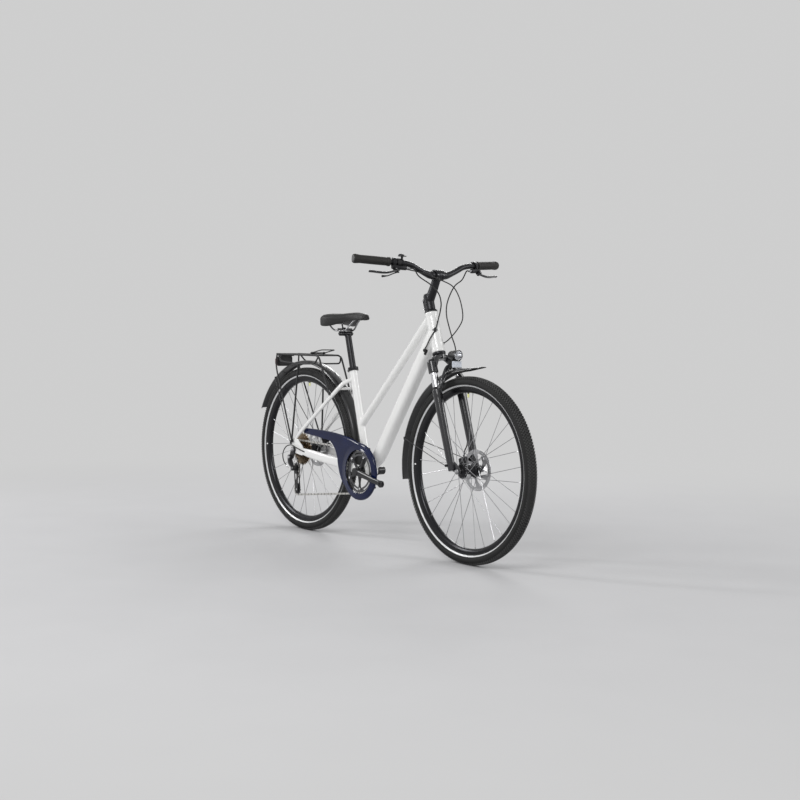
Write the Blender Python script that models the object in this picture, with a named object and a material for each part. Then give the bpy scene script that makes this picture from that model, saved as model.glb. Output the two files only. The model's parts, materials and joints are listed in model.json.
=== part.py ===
"""Trekking bike with a low, straight top tube, built from separate pieces.

Metres and degrees. +X is forward, +Y is the rider's left, +Z is up.
The origin is on the ground, midway between the two axles.
"""
import math

import bmesh
import bpy
from mathutils import Matrix, Vector

# Fits
FIT = 0.0003
RUN = 0.0006

# Wheels: 47-622 tyres
TYRE_RADIUS = 0.357
TYRE_WIDTH = 0.047
TYRE_WALL = 0.003
TREAD_FLAT = 0.012
RIM_BEAD_RADIUS = 0.3113
RIM_EDGE_RADIUS = 0.3165
RIM_INNER_RADIUS = 0.2945
RIM_WIDTH = 0.0276
RIM_WALL = 0.0021
WHEEL_SIDES = 36
SPOKES = 32
SPOKE_RADIUS = 0.0012
SPOKE_CROSSINGS = 3
FLANGE_RADIUS = 0.0290
FLANGE_THICKNESS = 0.0044
HUB_TUBE_RADIUS = 0.0145
AXLE_RADIUS = 0.0045
FRONT_HUB_WIDTH = 0.100
REAR_HUB_WIDTH = 0.135
ROTOR_RADIUS = 0.080
ROTOR_TRACK = 0.014
ROTOR_THICKNESS = 0.0018

# Frame geometry
WHEELBASE = 1.089
BB_DROP = 0.059
CHAINSTAY_LENGTH = 0.456
SEAT_ANGLE = 74.2
SEAT_TUBE_LENGTH = 0.441
SEAT_TUBE_RADIUS = 0.0175
SEATPOST_RADIUS = 0.0136
HEAD_ANGLE = 72.0
HEAD_TUBE_LENGTH = 0.162
HEAD_TUBE_RADIUS = 0.0250
HEAD_BORE = 0.0205
BB_SHELL_RADIUS = 0.0215
BB_SHELL_WIDTH = 0.068
BB_BORE = 0.0172
TOP_TUBE_REAR_DIAMETER = 0.030
TOP_TUBE_FRONT_DIAMETER = 0.036
DOWN_TUBE_WIDTH = 0.050
DOWN_TUBE_DEPTH = 0.056
DROPOUT_THICKNESS = 0.006

# Fork
FORK_LENGTH = 0.470
FORK_RAKE = 0.045
LOWER_CUP_HEIGHT = 0.010
UPPER_CUP_HEIGHT = 0.0085
STEERER_RADIUS = 0.0143
LEG_OFFSET = 0.018
LEG_SPACING = 0.120
STANCHION_RADIUS = 0.014
LEG_TOP_RADIUS = 0.0180
LEG_FOOT_RADIUS = 0.0150
LEG_TOP_DROP = 0.153

# Bar, stem and controls
STEM_BASE_TOP = 0.2376
STEM_REACH = 0.0788
STEM_CLAMP_HEIGHT = 0.2877
BAR_CENTRE_RADIUS = 0.0159
BAR_RADIUS = 0.0111
BAR_HALF_WIDTH = 0.356
GRIP_RADIUS = 0.0156

# Seatpost
SEATPOST_TOP = 0.586
SEATPOST_LENGTH = 0.350

# Drivetrain
PITCH = 0.0127
CHAINRING_TEETH = 44
SPROCKETS = (34, 30, 26, 23, 20, 17, 15, 13, 11)
CHAIN_SPROCKET = 4
SPROCKET_SPACING = 0.00434
FIRST_SPROCKET = 0.0288
PULLEY_TEETH = 11
TOOTH_THICKNESS = 0.0020
CHAIN_GAP = 0.0030
CHAIN_WIDTH = 0.0058
CHAIN_HEIGHT = 0.0080
CRANK_LENGTH = 0.175
CRANK_ANGLE = -11.0
CRANK_INNER = 0.0600
CRANK_THICKNESS = 0.0130
CASE_RADIUS = 0.118
CASE_OPENING = 0.090
CASE_OUTER = 0.0550
CASE_INNER = 0.0450
CASE_WALL = 0.0018

# Mudguards, rack and lamps
GUARD_RADIUS = 0.3865
GUARD_WIDTH = 0.0530
GUARD_WALL = 0.0020
RACK_TOP = 0.770
RACK_WIDTH = 0.116
RACK_ROD = 0.0050

# Frames of reference
REAR = Vector((-WHEELBASE / 2, 0.0, TYRE_RADIUS))
FRONT = Vector((WHEELBASE / 2, 0.0, TYRE_RADIUS))
BB = REAR + Vector((math.sqrt(CHAINSTAY_LENGTH ** 2 - BB_DROP ** 2), 0.0, -BB_DROP))


def leaning(angle, origin):
    """A frame at origin whose Z leans back so that it stands at angle from the ground."""
    return Matrix.Translation(origin) @ Matrix.Rotation(math.radians(angle - 90.0), 4, "Y")


HEAD_UP = Vector((-math.cos(math.radians(HEAD_ANGLE)), 0.0, math.sin(math.radians(HEAD_ANGLE))))
HEAD_AHEAD = Vector((HEAD_UP.z, 0.0, -HEAD_UP.x))
HEAD_FOOT = FRONT + HEAD_UP * (FORK_LENGTH + LOWER_CUP_HEIGHT) - HEAD_AHEAD * FORK_RAKE
STEER = leaning(HEAD_ANGLE, HEAD_FOOT)
SEAT = leaning(SEAT_ANGLE, BB)
WORLD = Matrix.Identity(4)
AXLE_DROP = FORK_LENGTH + LOWER_CUP_HEIGHT

# Finishes: colour, roughness, metallic
FINISHES = {
    "white_paint": ((0.83, 0.83, 0.82), 0.20, 0.0),
    "black_paint": ((0.022, 0.022, 0.024), 0.28, 0.0),
    "black_anodised": ((0.030, 0.030, 0.032), 0.38, 0.6),
    "black_plastic": ((0.025, 0.025, 0.026), 0.45, 0.0),
    "black_rubber": ((0.020, 0.020, 0.020), 0.75, 0.0),
    "tyre_rubber": ((0.035, 0.034, 0.033), 0.80, 0.0),
    "silver": ((0.62, 0.62, 0.63), 0.25, 1.0),
    "steel": ((0.45, 0.45, 0.46), 0.35, 1.0),
    "sprocket_steel": ((0.52, 0.46, 0.38), 0.38, 1.0),
    "chain_steel": ((0.40, 0.39, 0.37), 0.40, 1.0),
    "blue_smoke": ((0.018, 0.030, 0.085), 0.15, 0.0),
    "saddle_cover": ((0.030, 0.030, 0.031), 0.60, 0.0),
    "red_lens": ((0.30, 0.010, 0.010), 0.15, 0.0),
    "clear_lens": ((0.80, 0.82, 0.84), 0.05, 0.0),
}


def clear_scene():
    for old in list(bpy.data.objects):
        bpy.data.objects.remove(old)


def finish_material(name):
    """The material of that name, made the first time it is asked for."""
    known = bpy.data.materials.get(name)
    if known:
        return known
    colour, roughness, metallic = FINISHES[name]
    made = bpy.data.materials.new(name)
    made.use_nodes = True
    shader = made.node_tree.nodes["Principled BSDF"]
    shader.inputs["Base Color"].default_value = (*colour, 1.0)
    shader.inputs["Roughness"].default_value = roughness
    shader.inputs["Metallic"].default_value = metallic
    return made


PIVOTS = {}


def pivot(name, matrix, parent=None):
    """An empty at a joint's axis, or at the frame of a group of pieces."""
    empty = bpy.data.objects.new(name, None)
    empty.empty_display_size = 0.05
    bpy.context.scene.collection.objects.link(empty)
    local = matrix
    if parent:
        empty.parent = bpy.data.objects[parent]
        local = PIVOTS[parent].inverted() @ matrix
    empty.matrix_local = local
    PIVOTS[name] = matrix


# Shapes: each returns a mesh that is one closed body

def closed_mesh(bm):
    bmesh.ops.remove_doubles(bm, verts=bm.verts, dist=1e-6)
    bmesh.ops.recalc_face_normals(bm, faces=bm.faces)
    mesh = bpy.data.meshes.new("shape")
    bm.to_mesh(mesh)
    bm.free()
    return mesh


def loft(rings):
    """Skin over rings of points, capped at both ends."""
    bm = bmesh.new()
    loops = [[bm.verts.new(point) for point in ring] for ring in rings]
    count = len(loops[0])
    for first, second in zip(loops, loops[1:]):
        for i in range(count):
            j = (i + 1) % count
            bm.faces.new((first[i], first[j], second[j], second[i]))
    bm.faces.new(loops[0])
    bm.faces.new(loops[-1])
    return closed_mesh(bm)


def oval(centre, along, width, depth, sides, side=Vector((0, 1, 0))):
    """An oval ring square to along, with its width towards side."""
    along = Vector(along).normalized()
    across = (side - along * side.dot(along)).normalized()
    up = along.cross(across)
    ring = []
    for i in range(sides):
        angle = math.tau * (i + 0.5) / sides
        reach = across * (width / 2 * math.cos(angle)) + up * (depth / 2 * math.sin(angle))
        ring.append(Vector(centre) + reach)
    return ring


def directions(points):
    """The heading of a route at each of its points."""
    ends = [points[0]] + list(points) + [points[-1]]
    return [(Vector(ends[i + 2]) - Vector(ends[i])).normalized() for i in range(len(points))]


def tube(points, sizes, sides=12, side=Vector((0, 1, 0))):
    """A tube through points; each size is (width towards side, depth)."""
    headings = directions(points)
    rings = [oval(p, h, w, d, sides, side) for p, h, (w, d) in zip(points, headings, sizes)]
    return loft(rings)


def rod(start, end, radius, end_radius=None, sides=12):
    start, end = Vector(start), Vector(end)
    along = end - start
    side = Vector((0, 1, 0)) if abs(along.normalized().y) < 0.9 else Vector((0, 0, 1))
    last = radius if end_radius is None else end_radius
    first_ring = oval(start, along, 2 * radius, 2 * radius, sides, side)
    last_ring = oval(end, along, 2 * last, 2 * last, sides, side)
    return loft([first_ring, last_ring])


def wire(points, radius, sides=6):
    """A bent round wire: its section is carried along without twisting."""
    headings = directions([Vector(p) for p in points])
    across = headings[0].orthogonal().normalized()
    rings = []
    for point, heading in zip(points, headings):
        across = (across - heading * across.dot(heading)).normalized()
        up = heading.cross(across)
        ring = []
        for i in range(sides):
            angle = math.tau * i / sides
            ring.append(Vector(point) + (across * math.cos(angle) + up * math.sin(angle)) * radius)
        rings.append(ring)
    return loft(rings)


def spun(profile, sides, closed=True, along="Z", turn=0.0):
    """A profile of (radius, height) turned about an axis; closed joins its ends."""
    bm = bmesh.new()
    verts = [bm.verts.new((r, 0.0, h)) for r, h in profile]
    edges = [bm.edges.new(pair) for pair in zip(verts, verts[1:])]
    if closed:
        edges.append(bm.edges.new((verts[-1], verts[0])))
    bmesh.ops.rotate(bm, verts=verts, matrix=Matrix.Rotation(turn, 3, "Z"))
    bmesh.ops.spin(bm, geom=verts + edges, axis=(0, 0, 1), cent=(0, 0, 0), angle=math.tau,
                   steps=sides, use_merge=True)
    if along == "Y":
        bmesh.ops.rotate(bm, verts=bm.verts, matrix=Matrix.Rotation(-math.pi / 2, 3, "X"))
    return closed_mesh(bm)


def plate(outline, y0, y1, holes=()):
    """A flat plate in XZ, with holes, from y0 to y1."""
    bm = bmesh.new()
    for loop in (outline, *holes):
        verts = [bm.verts.new((x, y0, z)) for x, z in loop]
        for i, vert in enumerate(verts):
            bm.edges.new((vert, verts[(i + 1) % len(verts)]))
    bmesh.ops.triangle_fill(bm, edges=bm.edges[:], use_beauty=True, use_dissolve=False)
    grown = bmesh.ops.extrude_face_region(bm, geom=bm.faces[:])
    moved = [item for item in grown["geom"] if isinstance(item, bmesh.types.BMVert)]
    bmesh.ops.translate(bm, verts=moved, vec=(0, y1 - y0, 0))
    return closed_mesh(bm)


def circle(x, z, radius, sides, turn=0.0):
    steps = [math.tau * i / sides + turn for i in range(sides)]
    return [(x + radius * math.cos(a), z + radius * math.sin(a)) for a in steps]


def block(low, high, bevel=0.0):
    bm = bmesh.new()
    bmesh.ops.create_cube(bm, size=1.0)
    low, high = Vector(low), Vector(high)
    size = high - low
    for vert in bm.verts:
        vert.co = Vector(vert.co[i] * size[i] for i in range(3)) + (low + high) / 2
    if bevel:
        bmesh.ops.bevel(bm, geom=bm.edges[:], offset=bevel, segments=1, affect="EDGES")
    return closed_mesh(bm)


def mirrored(mesh):
    """The same shape on the other side of the bike's middle plane."""
    copy = mesh.copy()
    copy.transform(Matrix.Scale(-1.0, 4, (0, 1, 0)))
    copy.flip_normals()
    return copy


def placed(mesh, matrix):
    mesh.transform(matrix)
    return mesh


def combine(base, tools, operation):
    """One Boolean between a mesh and several others, returned as a mesh."""
    scene = bpy.context.scene
    host = bpy.data.objects.new("host", base)
    scene.collection.objects.link(host)
    group = bpy.data.collections.new("tools")
    scene.collection.children.link(group)
    helpers = []
    for tool in tools:
        helper = bpy.data.objects.new("helper", tool)
        group.objects.link(helper)
        helpers.append(helper)
    step = host.modifiers.new(operation.lower(), "BOOLEAN")
    step.operation = operation
    step.operand_type = "COLLECTION"
    step.collection = group
    step.solver = "EXACT"
    graph = bpy.context.evaluated_depsgraph_get()
    result = bpy.data.meshes.new_from_object(host.evaluated_get(graph))
    for helper in helpers + [host]:
        bpy.data.objects.remove(helper)
    bpy.data.collections.remove(group)
    return result


def piece(name, finish, shapes, cuts=(), frame=WORLD, on="bike", smooth=35.0):
    """One named piece: its shapes welded into one body, less its cuts."""
    mesh = shapes[0]
    if len(shapes) > 1:
        mesh = combine(mesh, shapes[1:], "UNION")
    if cuts:
        mesh = combine(mesh, cuts, "DIFFERENCE")
    mesh.transform(PIVOTS[on].inverted() @ frame)
    mesh.name = name
    mesh.materials.clear()
    mesh.materials.append(finish_material(finish))
    mesh.shade_smooth()
    mesh.set_sharp_from_angle(angle=math.radians(smooth))
    made = bpy.data.objects.new(name, mesh)
    bpy.context.scene.collection.objects.link(made)
    made.parent = bpy.data.objects[on]
    return made


def smooth_route(points, count):
    """Points evenly along a smooth curve through a hose's own points."""
    points = [Vector(p) for p in points]
    ends = [2 * points[0] - points[1]] + points + [2 * points[-1] - points[-2]]
    fine = []
    for i in range(len(points) - 1):
        a, b, c, d = ends[i:i + 4]
        for step in range(12):
            t = step / 12
            fine.append(0.5 * (2 * b + (c - a) * t + (2 * a - 5 * b + 4 * c - d) * t * t
                               + (3 * b - a - 3 * c + d) * t ** 3))
    fine.append(points[-1])
    lengths = [0.0]
    for a, b in zip(fine, fine[1:]):
        lengths.append(lengths[-1] + (b - a).length)
    even = []
    k = 0
    for i in range(count):
        goal = lengths[-1] * i / (count - 1)
        while k < len(fine) - 2 and lengths[k + 1] < goal:
            k += 1
        share = (goal - lengths[k]) / (lengths[k + 1] - lengths[k])
        even.append(fine[k].lerp(fine[k + 1], min(share, 1.0)))
    return even


def hose(name, points, diameter, on, finish="black_rubber", spacing=0.018):
    """A cable or brake hose, held at both ends: a curve with a round bevel."""
    length = sum((Vector(b) - Vector(a)).length for a, b in zip(points, points[1:]))
    route = smooth_route(points, max(6, round(length / spacing)))
    curve = bpy.data.curves.new(name, "CURVE")
    curve.dimensions = "3D"
    curve.bevel_depth = diameter / 2
    curve.bevel_resolution = 1
    curve.use_fill_caps = True
    line = curve.splines.new("POLY")
    line.points.add(len(route) - 1)
    back = PIVOTS[on].inverted()
    for spot, point in zip(line.points, route):
        spot.co = (*(back @ point), 1.0)
    curve.materials.append(finish_material(finish))
    made = bpy.data.objects.new(name, curve)
    bpy.context.scene.collection.objects.link(made)
    made.parent = bpy.data.objects[on]
    return made


# Wheels: each shape is made round the world's Y axis, with a flat side down

def wheel_turn():
    return math.pi / WHEEL_SIDES


def tyre_shape():
    """A hollow tyre, open towards the rim, with a flat tread band."""
    tread = TYRE_RADIUS / math.cos(math.pi / WHEEL_SIDES)
    half = TYRE_WIDTH / 2
    bead = 0.0114
    foot = RIM_BEAD_RADIUS + FIT
    outer = [(foot, bead), (0.3185, bead), (0.3345, half), (0.3490, half - 0.0050),
             (tread, TREAD_FLAT / 2)]
    inner = [(tread - 2 * TYRE_WALL, 0.0), (0.3355, -half + TYRE_WALL + 0.0002),
             (0.3205, -bead + TYRE_WALL), (foot, -bead + TYRE_WALL)]
    profile = outer + [(r, -y) for r, y in outer[::-1]] + inner[::-1]
    profile += [(r, -y) for r, y in inner[1:]]
    return spun(profile, WHEEL_SIDES, along="Y", turn=wheel_turn())


def rim_shape():
    half = RIM_WIDTH / 2
    lip = half - RIM_WALL
    waist = 0.0090
    profile = [(RIM_EDGE_RADIUS, half), (RIM_EDGE_RADIUS, lip), (RIM_BEAD_RADIUS, lip),
               (RIM_BEAD_RADIUS, -lip), (RIM_EDGE_RADIUS, -lip), (RIM_EDGE_RADIUS, -half),
               (RIM_INNER_RADIUS, -waist), (RIM_INNER_RADIUS, waist)]
    return spun(profile, WHEEL_SIDES, along="Y", turn=wheel_turn())


def spoke_shapes(left_flange, right_flange):
    """Crossed spokes from each flange to the rim, leading and trailing by turns."""
    shapes = []
    sweep = math.radians(SPOKE_CROSSINGS * 22.5)
    for i in range(SPOKES):
        rim_angle = math.tau * i / SPOKES
        flange = left_flange if i % 2 else right_flange
        trailing = 1 if (i // 2) % 2 else -1
        hub_angle = rim_angle + trailing * sweep
        head = flange + trailing * 0.0014
        hub = Vector((0.026 * math.cos(hub_angle), head, 0.026 * math.sin(hub_angle)))
        lean = math.copysign(0.0020, flange)
        rim = Vector((0.2932 * math.cos(rim_angle), lean, 0.2932 * math.sin(rim_angle)))
        shapes.append(rod(hub, rim, SPOKE_RADIUS, sides=3))
    return shapes


def flange_profile(y, foot):
    half = FLANGE_THICKNESS / 2
    return [(foot, y - half), (FLANGE_RADIUS, y - half), (FLANGE_RADIUS, y + half),
            (foot, y + half)]


def front_hub_shapes():
    bore = AXLE_RADIUS + RUN
    end = FRONT_HUB_WIDTH / 2 - FIT
    profile = [(bore, -end), (0.0095, -end)]
    profile += flange_profile(-0.0340, HUB_TUBE_RADIUS)
    profile += flange_profile(0.0265, HUB_TUBE_RADIUS)
    profile += [(0.0190, 0.0375), (0.0105, 0.0375), (0.0095, end), (bore, end)]
    return [spun(profile, 14, along="Y")] + spoke_shapes(0.0265, -0.0340)


def rear_hub_shapes():
    bore = AXLE_RADIUS + RUN
    end = REAR_HUB_WIDTH / 2 - FIT
    profile = [(bore, -end), (0.0085, -end), (0.0165, -0.0655), (0.0165, -0.0265)]
    profile += flange_profile(-0.0205, 0.0170)
    profile += flange_profile(0.0340, 0.0170)
    profile += [(0.0190, 0.0515), (0.0105, 0.0515), (0.0095, end), (bore, end)]
    return [spun(profile, 16, along="Y")] + spoke_shapes(0.0340, -0.0205)


def rotor_shapes(shoulder):
    """A brake rotor against its shoulder: track, six arms and a centre ring."""
    low = shoulder + FIT
    high = low + ROTOR_THICKNESS
    inner = ROTOR_RADIUS - ROTOR_TRACK
    track = plate(circle(0, 0, ROTOR_RADIUS, 24), low, high, [circle(0, 0, inner, 24)])
    centre = plate(circle(0, 0, 0.0215, 12), low, high, [circle(0, 0, 0.0112, 12)])
    arms = []
    for i in range(6):
        start = math.tau * i / 6
        finish = start + math.radians(38)
        near = Vector((0.020 * math.cos(start), 0, 0.020 * math.sin(start)))
        far = Vector((0.069 * math.cos(finish), 0, 0.069 * math.sin(finish)))
        across = (far - near).cross(Vector((0, 1, 0))).normalized() * 0.0032
        corners = [near + across, near - across, far - across, far + across]
        arms.append(plate([(c.x, c.z) for c in corners], low + 0.0001, high - 0.0001))
    return [track, centre] + arms


def build_wheels():
    at_front = Matrix.Translation(FRONT)
    at_rear = Matrix.Translation(REAR)
    pivot("front_wheel_axis", at_front, "fork_travel_axis")
    pivot("rear_wheel_axis", at_rear, "bike")
    for name, place, hub, shoulder in (("front", at_front, front_hub_shapes(), 0.0375),
                                       ("rear", at_rear, rear_hub_shapes(), 0.0515)):
        axis = name + "_wheel_axis"
        piece(name + "_tyre", "tyre_rubber", [tyre_shape()], frame=place, on=axis)
        piece(name + "_rim", "black_anodised", [rim_shape()], frame=place, on=axis)
        piece(name + "_hub", "silver", hub, frame=place, on=axis)
        piece(name + "_rotor", "steel", rotor_shapes(shoulder), frame=place, on=axis)


# Frame

TOP_TUBE_REAR = Vector((-0.1456, 0.0, 0.486))
TOP_TUBE_FRONT = Vector((0.307, 0.0, 0.942))
DOWN_TUBE_FRONT = Vector((0.329, 0.0, 0.875))
CHAIN_STAY = (
    # x, distance from the middle plane, z, width, height
    (BB.x + 0.005, 0.0240, 0.3000, 0.022, 0.036),
    (BB.x - 0.045, 0.0330, 0.3050, 0.013, 0.040),
    (-0.1975, 0.0365, 0.3150, 0.012, 0.040),
    (-0.3000, 0.0525, 0.3290, 0.016, 0.038),
    (-0.4300, 0.0650, 0.3460, 0.016, 0.036),
    (-0.5000, 0.0700, 0.3540, 0.014, 0.030),
)


def below_collar(ahead, out, drop):
    """A point ahead of the seat tube's axis and a drop below the tube's top."""
    return SEAT @ Vector((ahead, out, SEAT_TUBE_LENGTH - drop))


SEAT_STAY = (
    # x, distance from the middle plane, z, width, depth
    (*below_collar(0.0028, 0.0060, 0.0469), 0.014, 0.016),
    (*below_collar(-0.0251, 0.0260, 0.0535), 0.015, 0.016),
    (*below_collar(-0.0723, 0.0415, 0.0734), 0.015, 0.016),
    (-0.4755, 0.0640, 0.4590, 0.014, 0.015),
    (-0.5380, 0.0700, 0.4040, 0.010, 0.014),
)
DROPOUT = ((-0.031, 0.024), (-0.026, 0.038), (-0.004, 0.052), (0.020, 0.046), (0.066, 0.020),
           (0.080, -0.004), (0.070, -0.026), (0.030, -0.016), (0.012, -0.013),
           (-0.010, -0.013), (-0.016, 0.004))
DROPOUT_INNER = REAR_HUB_WIDTH / 2
SEAT_BRIDGE = below_collar(-0.0715, 0.0, 0.0729)
CHAIN_BRIDGE = Vector((-0.1400, 0.0, 0.3050))
# Where the hoses enter the down tube: mouth, then the bottom of the pocket
PORTS = {
    "rear_brake": ((0.3060, -0.0330, 0.8080), (0.2960, -0.0150, 0.7950)),
    "shift": ((0.3400, 0.0330, 0.8350), (0.3180, 0.0120, 0.8220)),
}


def stay_shape(stations, side):
    points = [Vector((x, side * y, z)) for x, y, z, width, depth in stations]
    return tube(points, [(width, depth) for x, y, z, width, depth in stations], 8)


def dropout_shape(side):
    """The plate that holds the rear axle in a slot open below."""
    outline = [(REAR.x + x, REAR.z + z) for x, z in DROPOUT]
    outer = side * (DROPOUT_INNER + DROPOUT_THICKNESS)
    return plate(outline, side * DROPOUT_INNER, outer)


def axle_slot(centre, side, near, far, frame=WORLD):
    """A round seat for the axle with a slot below it, cut through a dropout."""
    low, high = sorted((side * near, side * far))
    width = AXLE_RADIUS + RUN
    seat = plate(circle(centre.x, centre.z, width, 16, math.pi / 16), low, high)
    slot = block((centre.x - width, low, centre.z - 0.030), (centre.x + width, high, centre.z))
    return [placed(seat, frame), placed(slot, frame)]


def build_frame():
    down = [BB + Vector((0.006, 0, -0.004)), BB + Vector((0.036, 0, 0.036)),
            Vector((-0.014, 0, 0.375)), Vector((0.085, 0, 0.519)), DOWN_TUBE_FRONT]
    down_sizes = [(0.044, 0.040), (0.048, 0.048)] + [(DOWN_TUBE_WIDTH, DOWN_TUBE_DEPTH)] * 3
    shapes = [
        placed(spun([(0, 0), (HEAD_TUBE_RADIUS, 0), (HEAD_TUBE_RADIUS, HEAD_TUBE_LENGTH),
                     (0, HEAD_TUBE_LENGTH)], 16, closed=False), STEER),
        placed(spun([(0, 0), (SEAT_TUBE_RADIUS, 0), (SEAT_TUBE_RADIUS, SEAT_TUBE_LENGTH),
                     (0, SEAT_TUBE_LENGTH)], 16, closed=False), SEAT),
        rod(BB - Vector((0, BB_SHELL_WIDTH / 2, 0)), BB + Vector((0, BB_SHELL_WIDTH / 2, 0)),
            BB_SHELL_RADIUS, sides=16),
        tube([TOP_TUBE_REAR, TOP_TUBE_FRONT],
             [(TOP_TUBE_REAR_DIAMETER,) * 2, (TOP_TUBE_FRONT_DIAMETER,) * 2], 12),
        tube(down, down_sizes, 12),
        rod(SEAT_BRIDGE - Vector((0, 0.040, 0)), SEAT_BRIDGE + Vector((0, 0.040, 0)), 0.0060,
            sides=8),
        rod(CHAIN_BRIDGE - Vector((0, 0.034, 0)), CHAIN_BRIDGE + Vector((0, 0.034, 0)), 0.0060,
            sides=8),
    ]
    cuts = []
    for side in (-1, 1):
        shapes += [stay_shape(CHAIN_STAY, side), stay_shape(SEAT_STAY, side),
                   dropout_shape(side)]
        cuts += axle_slot(REAR, side, 0.0600, 0.0800)
    bore = [(0, -0.02), (HEAD_BORE, -0.02), (HEAD_BORE, HEAD_TUBE_LENGTH + 0.02),
            (0, HEAD_TUBE_LENGTH + 0.02)]
    post_bore = SEATPOST_RADIUS + 0.0004
    cuts += [
        placed(spun(bore, 16, closed=False), STEER),
        placed(spun([(0, 0.090), (post_bore, 0.090), (post_bore, SEAT_TUBE_LENGTH + 0.02),
                     (0, SEAT_TUBE_LENGTH + 0.02)], 16, closed=False), SEAT),
        rod(BB - Vector((0, 0.05, 0)), BB + Vector((0, 0.05, 0)), BB_BORE, sides=16),
        rod(BB - Vector((0, 0.06, 0)), BB - Vector((0, BB_SHELL_WIDTH / 2, 0)), 0.0214, sides=16),
        rod(BB + Vector((0, BB_SHELL_WIDTH / 2, 0)), BB + Vector((0, 0.06, 0)), 0.0214, sides=16),
        wire(PORTS["rear_brake"], 0.0034, 8),
        wire(PORTS["shift"], 0.0032, 8),
    ]
    piece("frame", "white_paint", shapes, cuts)


# Headset, fork crown and stem, in the steering frame

def build_headset():
    lip = HEAD_BORE - 2 * FIT
    lower = [(0.0150, -LOWER_CUP_HEIGHT + FIT), (0.0262, -LOWER_CUP_HEIGHT + FIT),
             (0.0262, -FIT), (lip, -FIT), (lip, 0.010), (0.0150, 0.010)]
    top = HEAD_TUBE_LENGTH
    upper = [(0.0150, top - 0.010), (lip, top - 0.010), (lip, top + FIT), (0.0262, top + FIT),
             (0.0240, top + UPPER_CUP_HEIGHT), (0.0150, top + UPPER_CUP_HEIGHT)]
    piece("lower_cup", "black_anodised", [spun(lower, 16)], frame=STEER)
    piece("upper_cup", "black_anodised", [spun(upper, 16)], frame=STEER)


CROWN_END_TOP = -0.0420


def build_crown():
    top = -LOWER_CUP_HEIGHT - FIT
    side = LEG_SPACING / 2
    shapes = [spun([(0, top - 0.022), (0.0235, top - 0.020), (0.0250, top), (0, top)], 16,
                   closed=False),
              spun([(0, top - 0.020), (STEERER_RADIUS, top - 0.020), (STEERER_RADIUS, 0.2315),
                    (0, 0.2315)], 16, closed=False)]
    half = ((0.004, 0.012, -0.0215, 0.036, 0.020), (0.008, 0.030, -0.0280, 0.036, 0.024),
            (0.014, 0.046, -0.0520, 0.034, 0.020), (LEG_OFFSET, side, -0.0680, 0.032, 0.024))
    stations = [(x, -y, z, w, d) for x, y, z, w, d in reversed(half)] + list(half)
    shapes.append(tube([Vector((x, y, z)) for x, y, z, w, d in stations],
                       [(w, d) for x, y, z, w, d in stations], 10, Vector((1, 0, 0))))
    for sign in (-1, 1):
        end = Vector((LEG_OFFSET, sign * side, 0))
        up = Vector((0, 0, 1))
        shapes.append(rod(end + up * -0.088, end + up * CROWN_END_TOP, 0.0190, sides=16))
        shapes.append(rod(end + up * -0.280, end + up * -0.060, STANCHION_RADIUS, sides=16))
    left_cap = Vector((LEG_OFFSET, side, CROWN_END_TOP - 0.0010))
    shapes.append(rod(left_cap, left_cap + Vector((0, 0, 0.0065)), 0.0130, 0.0115, 12))
    knob_spot = Vector((LEG_OFFSET, -side, CROWN_END_TOP))
    knob_room = rod(knob_spot, knob_spot + Vector((0, 0, 0.030)), 0.0122, sides=14)
    piece("fork_crown", "black_anodised", shapes, [knob_room], frame=STEER,
          on="steering_axis")


def build_lockout_knob():
    centre = Vector((LEG_OFFSET, -LEG_SPACING / 2, CROWN_END_TOP + FIT))
    pivot("lockout_axis", STEER @ Matrix.Translation(centre), "steering_axis")
    up = Vector((0, 0, 1))
    shapes = [rod(centre, centre + up * 0.008, 0.0112, 0.0100, 12),
              block(centre + Vector((0.004, -0.0022, 0.002)),
                    centre + Vector((0.0155, 0.0022, 0.010)), 0.0006)]
    piece("lockout_knob", "black_plastic", shapes, frame=STEER, on="lockout_axis")


def clamp_half_cut(front):
    """Everything on one side of the gap between the stem and its faceplate."""
    gap = 0.00075
    reach = (-gap, 0.08) if front else (-0.08, gap)
    shape = block((reach[0], -0.06, -0.08), (reach[1], 0.06, 0.08))
    turn = Matrix.Rotation(math.radians(-45), 4, "Y")
    return placed(shape, Matrix.Translation((STEM_REACH, 0, STEM_CLAMP_HEIGHT)) @ turn)


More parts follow.
